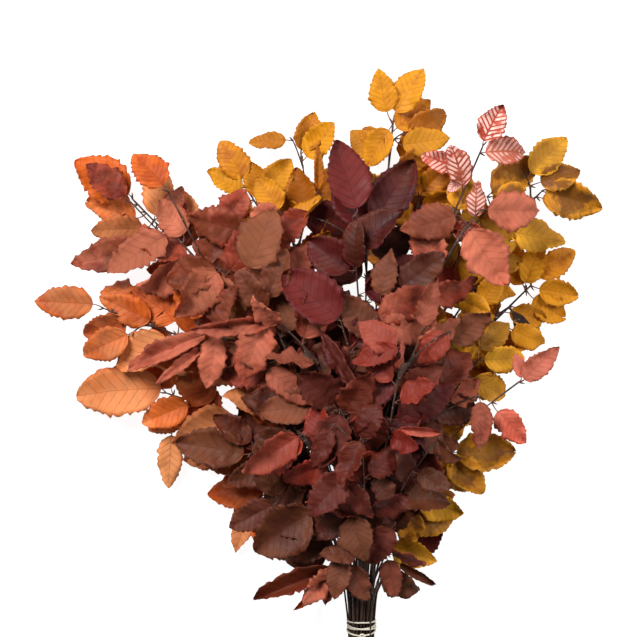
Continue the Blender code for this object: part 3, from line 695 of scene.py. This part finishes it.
def leaf_tree(settings):
    """The Geometry Nodes that turn anchor points into leaves."""
    number, material = "NodeSocketFloat", "NodeSocketMaterial"
    inputs = {
        "Anchors": ("NodeSocketGeometry", None),
        "Vein Pairs": (number, settings.vein_pairs),
        "Pleat Depth": (number, settings.pleat_depth),
        "Margin Wave": (number, settings.margin_wave),
        "Crumple": (number, settings.crumple),
        "Ragged": (number, 1.0),
        "Thickness": (number, settings.thickness),
        "Petiole Radius": (number, settings.petiole_radius),
        "Blade": (material, None),
        "Petiole": (material, None),
    }
    outputs = {"Leaves": "NodeSocketGeometry"}
    tree, sizes, end = new_tree("Beech Leaves", "GeometryNodeTree", inputs, outputs)
    pins = {"Size": (2, 1, 1), "Vertices X": ACROSS_POINTS, "Vertices Y": ALONG_POINTS, "Vertices Z": 2}
    slab = add(tree, "GeometryNodeMeshCube", pins)
    blades = on_anchors(tree, sizes["Anchors"], slab.outputs["Mesh"])
    position, *marks = blade_position(tree, sizes)
    for name, mark in zip(("vein_phase", "from_midrib", "along", "rim"), marks):
        blades = store(tree, blades, name, mark)
    blades = finished(tree, blades, position, sizes["Blade"])

    stalks = on_anchors(tree, sizes["Anchors"], unit_rod(tree, STALK_SIDES, STALK_STEPS))
    stalks = finished(tree, stalks, stalk_position(tree, sizes["Petiole Radius"]), sizes["Petiole"])

    join = tree.nodes.new("GeometryNodeJoinGeometry")
    for part in (stalks, blades):
        tree.links.new(part, join.inputs[0])
    plug(tree, join.outputs[0], end.inputs["Leaves"])
    return tree


def anchor_mesh(name, leaves, seed):
    """A point for each leaf, with the leaf's frame and sizes as attributes."""
    mesh = bpy.data.meshes.new(name)
    mesh.from_pydata([leaf.base for leaf in leaves], [], [])

    def keep(key, numbers, kind="FLOAT", slot="value"):
        mesh.attributes.new("leaf_" + key, kind, "POINT").data.foreach_set(slot, list(numbers))

    for key in ("root", "base", "ahead", "across", "up"):
        keep(key, (number for leaf in leaves for number in getattr(leaf, key)), "FLOAT_VECTOR", "vector")
    for key in ("length", "width", "fold", "curl"):
        keep(key, (getattr(leaf, key) for leaf in leaves))
    rng = random.Random(f"{name} {seed}")
    keep("chance", (rng.random() for _ in range(3 * len(leaves))), "FLOAT_VECTOR", "vector")
    # A leaf's third tone is painted shade, deepest in the heart of the bunch, with a random depth of dye
    tones = [(rng.random(), rng.random(), heart_shade_and_dye(leaf, rng)) for leaf in leaves]
    keep("tone", (number for tone in tones for number in tone), "FLOAT_VECTOR", "vector")
    bleached = name.startswith("coral")
    pale = [rng.uniform(*BLEACHED_SHARE) * (bleached and leaf.base.y > BLEACHED_FROM) for leaf in leaves]
    keep("pale", pale)
    return mesh


def heart_shade_and_dye(leaf, rng):
    """From 0 to 1, how dark a leaf is painted: painted shade, most in the heart of the bunch, plus a random
    depth of dye.
    """
    away = leaf.base + leaf.ahead * leaf.length / 2 - SHADED_HEART
    reach = (away.x / SHADED_HEART_REACH.x) ** 2 + (away.y / SHADED_HEART_REACH.y) ** 2
    return min(1.0, math.exp(-reach) * rng.uniform(*PAINTED_HEART_SHADE) + rng.random() ** 2 * DYED_ASTRAY)


def grown(name, anchors, tree, inputs, kept=()):
    """A plain mesh object of what the tree makes on an anchor mesh."""
    holder = bpy.data.objects.new(name + "_anchors", anchors)
    bunch_collection().objects.link(holder)
    modifier = holder.modifiers.new("grow", "NODES")
    modifier.node_group = tree
    pins = {item.name: item.identifier for item in tree.interface.items_tree if item.in_out == "INPUT"}
    for label, value in inputs.items():
        modifier[pins[label]] = value
    graph = bpy.context.evaluated_depsgraph_get()
    mesh = bpy.data.meshes.new_from_object(holder.evaluated_get(graph), depsgraph=graph)
    bpy.data.objects.remove(holder)
    mesh.name = name
    if mesh.materials[0] is None:
        mesh.materials.pop(index=0)
    for key in [each.name for each in mesh.attributes]:
        if (key.startswith("leaf_") or key == "unit") and key not in kept:
            mesh.attributes.remove(mesh.attributes[key])
    return mesh_object(name, mesh)


# ---- Pieces ----


def bunch_collection():
    """The collection that holds the bunch, made when it is first wanted."""
    name = "Beech Bunch"
    found = bpy.data.collections.get(name)
    if found is None:
        found = bpy.data.collections.new(name)
        bpy.context.scene.collection.children.link(found)
    return found


def mesh_object(name, mesh):
    """A new object of the bunch with that mesh, which has to have faces."""
    if not mesh.polygons:
        raise RuntimeError(f"{name} came out with no faces")
    made = bpy.data.objects.new(name, mesh)
    bunch_collection().objects.link(made)
    return made


class BEECH_OT_leaves(bpy.types.Operator):
    """Grow the leaves of every branch"""

    bl_idname = "beech.leaves"
    bl_label = "Leaves"

    def execute(self, context):
        settings = context.scene.beech_leaves
        tree = leaf_tree(settings)
        petiole = petiole_material()
        for node in branch_nodes():
            leaves, _ = read_branch(node)
            finish = finish_of(node)
            anchors = anchor_mesh(node, leaves, settings.seed)
            look = FINISHES[finish]
            inputs = {
                "Blade": leaf_material(finish),
                "Petiole": petiole,
                "Crumple": settings.crumple * look.crumple,
                "Ragged": look.ragged,
            }
            piece = grown(node + "_leaves", anchors, tree, inputs, kept=("leaf_tone", "leaf_pale"))
            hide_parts(node)
            finish + "_leaf"
            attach(piece, BODY)
        return {"FINISHED"}


def wood_cage(node, swell):
    """The coarse mesh that a branch's wood is rounded from, its cut end creased and of slot 1."""
    _, bare = read_branch(node)
    edit = bmesh.new()
    edit.from_mesh(bare)
    flat = math.radians(FLAT_ENOUGH)
    bmesh.ops.join_triangles(edit, faces=edit.faces, angle_face_threshold=flat, angle_shape_threshold=math.pi)
    edit.normal_update()
    foot = min(point.co.y for point in edit.verts)
    creases = edit.edges.layers.float.new("crease_edge")
    for face in edit.faces:
        if face.normal.y < CUT_FACING and face.calc_center_median().y < foot + CUT_REACH:
            face.material_index = 1
            for edge in face.edges:
                edge[creases] = 1.0
    for point in edit.verts:
        point.co += point.normal * swell
    mesh = bpy.data.meshes.new(node + "_wood")
    edit.to_mesh(mesh)
    edit.free()
    return mesh


class BEECH_OT_wood(bpy.types.Operator):
    """Round the stems and twigs of every branch"""

    bl_idname = "beech.wood"
    bl_label = "Stems and Twigs"

    def execute(self, context):
        settings = context.scene.beech_wood
        bark, cut = bark_material(), cut_material()
        for node in branch_nodes():
            mesh = wood_cage(node, settings.swell)
            mesh.materials.append(bark)
            mesh.materials.append(cut)
            piece = mesh_object(node + "_wood", mesh)
            rounding = piece.modifiers.new("round", "SUBSURF")
            rounding.levels = rounding.render_levels = settings.smoothness
            mesh.shade_smooth()
            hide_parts(node)
            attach(piece, BODY)
        return {"FINISHED"}


def bud_tree(settings):
    """The Geometry Nodes that turn anchor points into slim winter buds."""
    inputs = {
        "Anchors": ("NodeSocketGeometry", None),
        "Length": ("NodeSocketFloat", settings.bud_length),
        "Radius": ("NodeSocketFloat", settings.bud_radius),
        "Bark": ("NodeSocketMaterial", None),
    }
    outputs = {"Buds": "NodeSocketGeometry"}
    tree, sizes, end = new_tree("Winter Buds", "GeometryNodeTree", inputs, outputs)
    buds = on_anchors(tree, sizes["Anchors"], unit_rod(tree, BUD_SIDES, BUD_STEPS))
    grid_x, grid_y, grid_z = split(tree, named(tree, "unit", "FLOAT_VECTOR"))
    ahead = named(tree, "leaf_ahead", "FLOAT_VECTOR")
    across = named(tree, "leaf_across", "FLOAT_VECTOR")
    up = vector(tree, "CROSS_PRODUCT", ahead, across)
    share = grid_z + 0.5
    from_belly = share * BUD_REACH - BUD_BELLY
    thick = sizes["Radius"] * (from_belly**2.0 * -BUD_TAPER + 1.0).math("MAXIMUM", BUD_TIP)
    position = offset(
        tree,
        named(tree, "leaf_base", "FLOAT_VECTOR"),
        (ahead, share * sizes["Length"]),
        (across, grid_x * thick),
        (up, grid_y * thick),
    )
    plug(tree, finished(tree, buds, position, sizes["Bark"]), end.inputs["Buds"])
    return tree


def bud_places(leaves):
    """Where the buds stand: at each leaf's root, leaning away from its stalk, as a Leaf each."""
    places = []
    for k, leaf in enumerate(leaves):
        stalk = (leaf.base - leaf.root).normalized()
        lean = Matrix.Rotation(math.radians(BUD_LEAN if k % 2 else -BUD_LEAN), 3, leaf.up)
        ahead = (lean @ stalk).normalized()
        across = ahead.cross(leaf.up).normalized()
        places.append(leaf._replace(base=leaf.root, ahead=ahead, across=across))
    return places


class BEECH_OT_buds(bpy.types.Operator):
    """Set a bud at the foot of every leaf's stalk"""

    bl_idname = "beech.buds"
    bl_label = "Buds"

    def execute(self, context):
        settings = context.scene.beech_wood
        places = [place for node in branch_nodes() for place in bud_places(read_branch(node)[0])]
        tree = bud_tree(settings)
        piece = grown("buds", anchor_mesh("buds", places, 0), tree, {"Bark": bark_material()})
        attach(piece, BODY)
        return {"FINISHED"}


def twine_line():
    """The twine's middle line: turns up the bundle and down again, a knot, and two tails."""
    settings = bpy.context.scene.beech_twine
    along = Vector((0, math.cos(BUNDLE_RISE), math.sin(BUNDLE_RISE)))
    up = Vector((0, -math.sin(BUNDLE_RISE), math.cos(BUNDLE_RISE)))
    steps = TWINE_STEPS_A_TURN * 2 * settings.turns
    lowest, highest = TWINE_LAYERS
    turns = []
    for k in range(steps + 1):
        share = k / steps
        angle = 4 * math.pi * settings.turns * share
        rise = (1 - abs(2 * share - 1)) * TWINE_PITCH * settings.turns - TWINE_PITCH
        radius = BUNDLE_RADIUS + lowest + (highest - lowest) * share
        out = Vector((math.sin(angle), 0, 0)) + up * math.cos(angle)
        turns.append(out * radius + along * rise)
    tails = []
    marks = [k / TAIL_STEPS for k in range(1, TAIL_STEPS + 1)]
    bow = Vector((0, 0, TAIL_BOW))
    for place, side in ((turns[0], -1), (turns[-1], 1)):
        yaw, pitch = math.radians(side * TAIL_YAW), math.radians(TAIL_PITCH)
        aim = Vector((math.sin(yaw) * math.cos(pitch), math.cos(yaw) * math.cos(pitch), math.sin(pitch)))
        tails.append([place + aim * TAIL_LENGTH * t + bow * t * (1 - t) for t in marks])
    knot = []
    for k in range(1, KNOT_STEPS):
        share = k / KNOT_STEPS
        angle = 2 * math.pi * KNOT_LOOPS * share
        lobe = KNOT_SIZE * math.sin(math.pi * share)
        lift = KNOT_SIZE * share * math.sin(math.pi * share)
        around = Vector((math.cos(angle), 0, 0)) + along * math.sin(angle)
        knot.append(turns[-1] + around * lobe + up * lift)
    return [*reversed(tails[0]), *turns], knot, tails[1]


def twine_tree(settings):
    """The Geometry Nodes that lay three strands round a line."""
    number = "NodeSocketFloat"
    inputs = {
        "Line": ("NodeSocketGeometry", None),
        "Strand Radius": (number, settings.strand_radius),
        "Lay": (number, settings.lay),
        "Twine": ("NodeSocketMaterial", None),
    }
    outputs = {"Twine": "NodeSocketGeometry"}
    tree, sizes, end = new_tree("Twisted Twine", "GeometryNodeTree", inputs, outputs)
    line = add(tree, "GeometryNodeMeshToCurve", {"Mesh": sizes["Line"]})
    pins = {"Curve": line.outputs["Curve"], "Length": sizes["Lay"] * TWINE_STEP}
    even = add(tree, "GeometryNodeResampleCurve", pins, mode="LENGTH")
    pins = {"Geometry": even.outputs["Curve"], "Amount": TWINE_STRANDS}
    strands = add(tree, "GeometryNodeDuplicateElements", pins, domain="SPLINE")
    normal = tree.nodes.new("GeometryNodeInputNormal").outputs["Normal"]
    tangent = tree.nodes.new("GeometryNodeInputTangent").outputs["Tangent"]
    length = field(tree, "GeometryNodeSplineParameter", "Length")
    strand = field(tree, "GeometryNodeFieldOnDomain", 0, {0: strands.outputs["Duplicate Index"]})
    angle = (length / sizes["Lay"] + strand / TWINE_STRANDS) * (2 * math.pi)
    away = sizes["Strand Radius"] * STRANDS_APART
    place = offset(
        tree,
        tree.nodes.new("GeometryNodeInputPosition").outputs["Position"],
        (normal, angle.math("COSINE") * away),
        (vector(tree, "CROSS_PRODUCT", tangent, normal), angle.math("SINE") * away),
    )
    laid = add(tree, "GeometryNodeSetPosition", {"Geometry": strands.outputs["Geometry"], "Position": place})
    pins = {"Resolution": TWINE_SIDES, "Radius": sizes["Strand Radius"]}
    ring = add(tree, "GeometryNodeCurvePrimitiveCircle", pins)
    pins = {"Curve": laid.outputs["Geometry"], "Profile Curve": ring.outputs["Curve"], "Fill Caps": True}
    tubes = add(tree, "GeometryNodeCurveToMesh", pins)
    smooth = add(tree, "GeometryNodeSetShadeSmooth", {"Geometry": tubes.outputs["Mesh"]})
    pins = {"Geometry": smooth.outputs["Geometry"], "Material": sizes["Twine"]}
    plug(tree, add(tree, "GeometryNodeSetMaterial", pins).outputs["Geometry"], end.inputs["Twine"])
    return tree


class BEECH_OT_twine(bpy.types.Operator):
    """Tie the bunch with a twisted twine"""

    bl_idname = "beech.twine"
    bl_label = "Twine"

    def execute(self, context):
        turns, knot, tail = twine_line()
        low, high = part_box(TIE)
        least, most = (Vector(map(pick, zip(*turns, *tail))) for pick in (min, max))
        shift = (low + high - least - most) / 2
        shift.z = low.z + 2 * context.scene.beech_twine.strand_radius - least.z
        points = [*turns, *knot, *tail]
        line = bpy.data.meshes.new("twine_line")
        steps = [(k, k + 1) for k in range(len(points) - 1)]
        line.from_pydata([point + shift for point in points], steps, [])
        tree = twine_tree(context.scene.beech_twine)
        piece = grown("twine", line, tree, {"Twine": twine_material()})
        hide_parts(TIE)
        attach(piece, BODY)
        return {"FINISHED"}


# ---- Materials ----


def linear(colour):
    """An sRGB colour of 0 to 255 as a shader's linear colour."""
    values = [c / 255 for c in colour]
    return (*[c / 12.92 if c <= 0.04045 else ((c + 0.055) / 1.055) ** 2.4 for c in values], 1.0)


def mixed(tree, share, a, b):
    """Colour a turning into colour b by a share."""
    return field(tree, "ShaderNodeMix", 2, {0: share, 6: a, 7: b}, data_type="RGBA")


def ramp(tree, value, low, high):
    """0 below low, 1 above high, and a smooth rise between."""
    inputs = {"Value": value, "From Min": low, "From Max": high}
    return field(tree, "ShaderNodeMapRange", 0, inputs, interpolation_type="SMOOTHSTEP")


def attribute(tree, name, output="Fac"):
    """An attribute of the mesh, as a field of a shader."""
    return field(tree, "ShaderNodeAttribute", output, attribute_name=name)


def object_place(tree):
    """The place of a point in its object's own coordinates."""
    return field(tree, "ShaderNodeTexCoord", "Object")


def cloud(tree, scale, detail=3.0, roughness=0.55):
    """Noise from 0 to 1 over the object."""
    inputs = {"Vector": object_place(tree), "Scale": scale, "Detail": detail, "Roughness": roughness}
    return field(tree, "ShaderNodeTexNoise", 0, inputs)


@functools.cache
def venation_group():
    """Masks of a leaf's veins, of their fine net and of what lies between them, and their relief."""
    number = "NodeSocketFloat"
    inputs = {"Vein Width": (number, VEIN_WIDTH), "Net Scale": (number, NET_SCALE)}
    outputs = dict.fromkeys(("Veins", "Net", "Between", "Relief"), number)
    tree, pins, end = new_tree("Beech Venation", "ShaderNodeTree", inputs, outputs)
    from_midrib, phase = attribute(tree, "from_midrib"), attribute(tree, "vein_phase")
    along, rim = attribute(tree, "along"), attribute(tree, "rim")
    wobble = cloud(tree, 160.0) * 0.16 - 0.08
    from_vein = ((phase + wobble + 0.5).math("FRACT") - 0.5).math("ABSOLUTE")
    thin = 1.3 - along * 0.7 - rim * 0.4
    side_veins = 1.0 - ramp(tree, from_vein / thin, pins["Vein Width"] * 0.25, pins["Vein Width"])
    midrib = 1.0 - ramp(tree, from_midrib / (1.25 - along), 0.25, 0.75)
    veins = side_veins.math("MAXIMUM", midrib)
    places = {"Vector": object_place(tree), "Scale": pins["Net Scale"]}
    cells = field(tree, "ShaderNodeTexVoronoi", "Distance", places, feature="DISTANCE_TO_EDGE")
    net = 1.0 - ramp(tree, cells, 0.0, 0.16)
    between = ramp(tree, from_vein, 0.16, 0.26) * ramp(tree, rim, 0.04, 0.12)
    between *= 1.0 - ramp(tree, rim, 0.8, 0.98)
    relief = veins * -1.0 + net * -0.25
    wire(tree, end, zip(outputs, (veins, net, between, relief)))
    return tree


@functools.cache
def weathering_group():
    """Masks of a dried leaf: blotches of deeper dye, pale dust, the margin and dark specks."""
    number = "NodeSocketFloat"
    inputs = {"Blotch Scale": (number, BLOTCH_SCALE)}
    outputs = dict.fromkeys(("Blotches", "Dust", "Margin", "Specks"), number)
    tree, pins, end = new_tree("Dried Leaf", "ShaderNodeTree", inputs, outputs)
    along, rim = attribute(tree, "along"), attribute(tree, "rim")
    tone_a, tone_b, shade_and_dye_tone = split(tree, attribute(tree, "leaf_tone", "Vector"))
    patches = cloud(tree, pins["Blotch Scale"], 4.0, 0.6)
    inner = 1.0 - ramp(tree, rim * 0.8 + (along - 0.45).math("ABSOLUTE") * 0.9, 0.25, 0.95)
    blotches = ramp(tree, patches + inner * 0.16 + (tone_a - 0.5) * 0.30, 0.48, 0.66)
    dust = ramp(tree, cloud(tree, 28.0, 5.0, 0.65) + (tone_b - 0.5) * 0.36, 0.40, 0.64)
    edge = ramp(tree, rim + (cloud(tree, 220.0) - 0.5) * 0.5, 0.82, 1.02)
    # The specks come more where the third tone, painted shade in the heart of the bunch with a random depth
    # of dye, is deep
    specks = ramp(tree, cloud(tree, 520.0, 2.0), 0.60, 0.70) * ramp(tree, shade_and_dye_tone, 0.3, 1.0)
    wire(tree, end, zip(outputs, (blotches, dust, edge, specks)))
    return tree


def new_material(name):
    """(material, its node tree, its Principled shader)."""
    made = bpy.data.materials.get(name) or bpy.data.materials.new(name)
    made.use_nodes = True
    shader = made.node_tree.nodes["Principled BSDF"]
    return made, made.node_tree, shader


def use_group(tree, group, inputs):
    """The outputs of a node group placed in a material with its own values, by name."""
    node = add(tree, "ShaderNodeGroup", inputs, node_tree=group)
    return {output.name: Field(tree, output) for output in node.outputs}


def surface(tree, shader, colour, roughness, height, distance, specular=0.5):
    """Gives the shader its colour, its roughness and the relief of a height."""
    bump = add(tree, "ShaderNodeBump", {"Height": height, "Distance": distance})
    inputs = {"Base Color": colour, "Roughness": roughness, "Normal": bump.outputs["Normal"]}
    wire(tree, shader, {**inputs, "Specular IOR Level": specular})


@functools.cache
def leaf_material(finish):
    """A dyed, dried blade: its dye, then browning, painted shade that is deepest in the heart of the bunch
    with a random depth of dye, veins, margin and bleaching.
    """
    look = FINISHES[finish]
    made, tree, shader = new_material(finish.capitalize() + " Leaf")
    veins = use_group(tree, venation_group(), {"Vein Width": VEIN_WIDTH, "Net Scale": NET_SCALE})
    dried = use_group(tree, weathering_group(), {"Blotch Scale": BLOTCH_SCALE})
    tone = split(tree, attribute(tree, "leaf_tone", "Vector"))
    body, deep, light = linear(look.body), linear(look.deep), linear(look.light)
    vein, margin = linear(look.vein), linear(look.margin)
    browned = ramp(tree, cloud(tree, 26.0, 2.0) * 0.8 + tone[0] * 0.4, 0.56, 0.78) * look.browned
    bleached = veins["Between"] * attribute(tree, "leaf_pale") * ramp(tree, cloud(tree, 90.0), 0.36, 0.52)
    colour = body
    for share, tint in (
        (dried["Blotches"] * look.blotch, deep),
        (dried["Dust"] * look.dust, light),
        (ramp(tree, tone[1], 0.3, 1.0) * 0.4, light),
        (browned, linear(DRIED_BROWN)),
        # Painted shade, deepest in the heart of the bunch, with a random depth of dye
        (tone[2] * look.heart, deep),
        (veins["Veins"] * look.veins, vein),
        (veins["Net"] * (look.veins * 0.3), vein),
        (dried["Margin"] * 0.5, margin),
        (dried["Specks"] * 0.35, deep),
        (bleached, linear(BLEACHED)),
    ):
        colour = mixed(tree, share, colour, tint)
    roughness = dried["Dust"] * 0.2 + (look.roughness - 0.08)
    height = veins["Relief"] + cloud(tree, 900.0, 2.0) * 0.35
    surface(tree, shader, colour, roughness, height, 0.25 * MM, specular=0.2)
    return made


@functools.cache
def petiole_material():
    """A dried stalk, streaked along its fibres."""
    made, tree, shader = new_material("Petiole")
    streaks = cloud(tree, 400.0, 3.0)
    pale, dark = map(linear, PETIOLE_COLOURS)
    colour = mixed(tree, ramp(tree, streaks, 0.35, 0.65), pale, dark)
    surface(tree, shader, colour, streaks * 0.3 + 0.4, streaks, 0.1 * MM)
    return made


@functools.cache
def bark_material():
    """Bark in patches, with spots of grey lichen."""
    made, tree, shader = new_material("Bark")
    bark = linear([c * 255 for c in bpy.context.scene.beech_wood.bark])
    patches = cloud(tree, 60.0, 4.0, 0.6)
    fine = cloud(tree, 700.0, 3.0)
    spots = ramp(tree, cloud(tree, 330.0, 1.0), 0.64, 0.70) * 0.6
    colour = mixed(tree, ramp(tree, patches, 0.4, 0.62), bark, linear(BARK_SHADE))
    colour = mixed(tree, spots, colour, linear(BARK_LICHEN))
    surface(tree, shader, colour, patches * 0.25 + 0.5, fine + patches, 0.25 * MM, specular=0.25)
    return made


@functools.cache
def cut_material():
    """The pale wood of a cut end, in light and dark grain."""
    made, tree, shader = new_material("Cut Wood")
    grain = cloud(tree, 600.0, 3.0)
    pale, dark = map(linear, CUT_COLOURS)
    colour = mixed(tree, ramp(tree, grain, 0.35, 0.7), pale, dark)
    surface(tree, shader, colour, 0.8, grain, 0.1 * MM)
    return made


@functools.cache
def twine_material():
    """Pale cotton, greyer where its fluff is worn."""
    made, tree, shader = new_material("Twine")
    colour = linear([c * 255 for c in bpy.context.scene.beech_twine.colour])
    fluff = cloud(tree, 900.0, 4.0)
    worn = mixed(tree, ramp(tree, fluff, 0.35, 0.7), colour, linear(TWINE_WORN))
    surface(tree, shader, worn, 0.9, fluff, 0.15 * MM, specular=0.2)
    return made


# ---- Stage ----


class BEECH_OT_stage(bpy.types.Operator):
    """Set the floor, the lights and the camera"""

    bl_idname = "beech.stage"
    bl_label = "Stage"

    def execute(self, context):
        scene, settings = context.scene, context.scene.beech_stage
        floor = bpy.data.meshes.new("floor")
        edit = bmesh.new()
        bmesh.ops.create_grid(edit, x_segments=1, y_segments=1, size=FLOOR_SIZE)
        edit.to_mesh(floor)
        edit.free()
        made, tree, shader = new_material("Floor")
        colours = {"Base Color": (FLOOR_SHADE, FLOOR_SHADE, FLOOR_SHADE, 1), "Emission Color": (1, 1, 1, 1)}
        wire(tree, shader, {**colours, "Roughness": 0.9, "Emission Strength": FLOOR_GLOW})
        floor.materials.append(made)
        ground = bpy.data.objects.new("floor", floor)
        scene.collection.objects.link(ground)

        scene.world = scene.world or bpy.data.worlds.new("World")
        scene.world.use_nodes = True
        sky = scene.world.node_tree
        wire(sky, sky.nodes["Background"], {"Color": (1, 1, 1, 1), "Strength": settings.room_light})
        for name, place, power, size in (
            ("key", KEY_PLACE, settings.key_power, KEY_SIZE),
            ("fill", FILL_PLACE, settings.fill_power, FILL_SIZE),
        ):
            lamp = bpy.data.lights.new(name, "AREA")
            lamp.energy, lamp.size = power, size
            holder = bpy.data.objects.new(name, lamp)
            holder.location = place
            holder.rotation_euler = (CROWN - Vector(place)).to_track_quat("-Z", "Y").to_euler()
            scene.collection.objects.link(holder)

        lens = bpy.data.cameras.new("camera")
        lens.lens = lens.sensor_width * settings.camera_height / settings.view_width
        lens.clip_end = 50.0
        camera = bpy.data.objects.new("camera", lens)
        camera.location = CROWN + Vector((0, 0, settings.camera_height))
        scene.collection.objects.link(camera)
        scene.camera = camera
        scene.view_settings.view_transform = "Standard"
        return {"FINISHED"}


class BEECH_PT_bunch(bpy.types.Panel):
    """The parts of the bunch and their settings"""

    bl_idname = "BEECH_PT_bunch"
    bl_label = "Beech Bunch"
    bl_space_type = "VIEW_3D"
    bl_region_type = "UI"
    bl_category = "Beech Bunch"

    def draw(self, context):
        for operator, settings in PARTS:
            box = self.layout.box()
            box.operator(operator)
            group = getattr(context.scene, settings)
            for name in group.bl_rna.properties.keys():
                if name not in ("rna_type", "name"):
                    box.prop(group, name)


PARTS = (
    ("beech.leaves", "beech_leaves"),
    ("beech.wood", "beech_wood"),
    ("beech.buds", "beech_wood"),
    ("beech.twine", "beech_twine"),
    ("beech.stage", "beech_stage"),
)
SETTINGS = {
    "beech_leaves": LeafSettings,
    "beech_wood": WoodSettings,
    "beech_twine": TwineSettings,
    "beech_stage": StageSettings,
}
OPERATORS = (BEECH_OT_leaves, BEECH_OT_wood, BEECH_OT_buds, BEECH_OT_twine, BEECH_OT_stage)
CLASSES = (*SETTINGS.values(), *OPERATORS, BEECH_PT_bunch)


def register():
    for kind in CLASSES:
        bpy.utils.register_class(kind)
    for name, kind in SETTINGS.items():
        setattr(bpy.types.Scene, name, bpy.props.PointerProperty(type=kind))


def unregister():
    for name in SETTINGS:
        delattr(bpy.types.Scene, name)
    for kind in reversed(CLASSES):
        bpy.utils.unregister_class(kind)


def main():
    register()
    bpy.ops.beech.leaves()
    bpy.ops.beech.wood()
    bpy.ops.beech.buds()
    bpy.ops.beech.twine()
    bpy.ops.beech.stage()


if __name__ == "__main__":
    main()
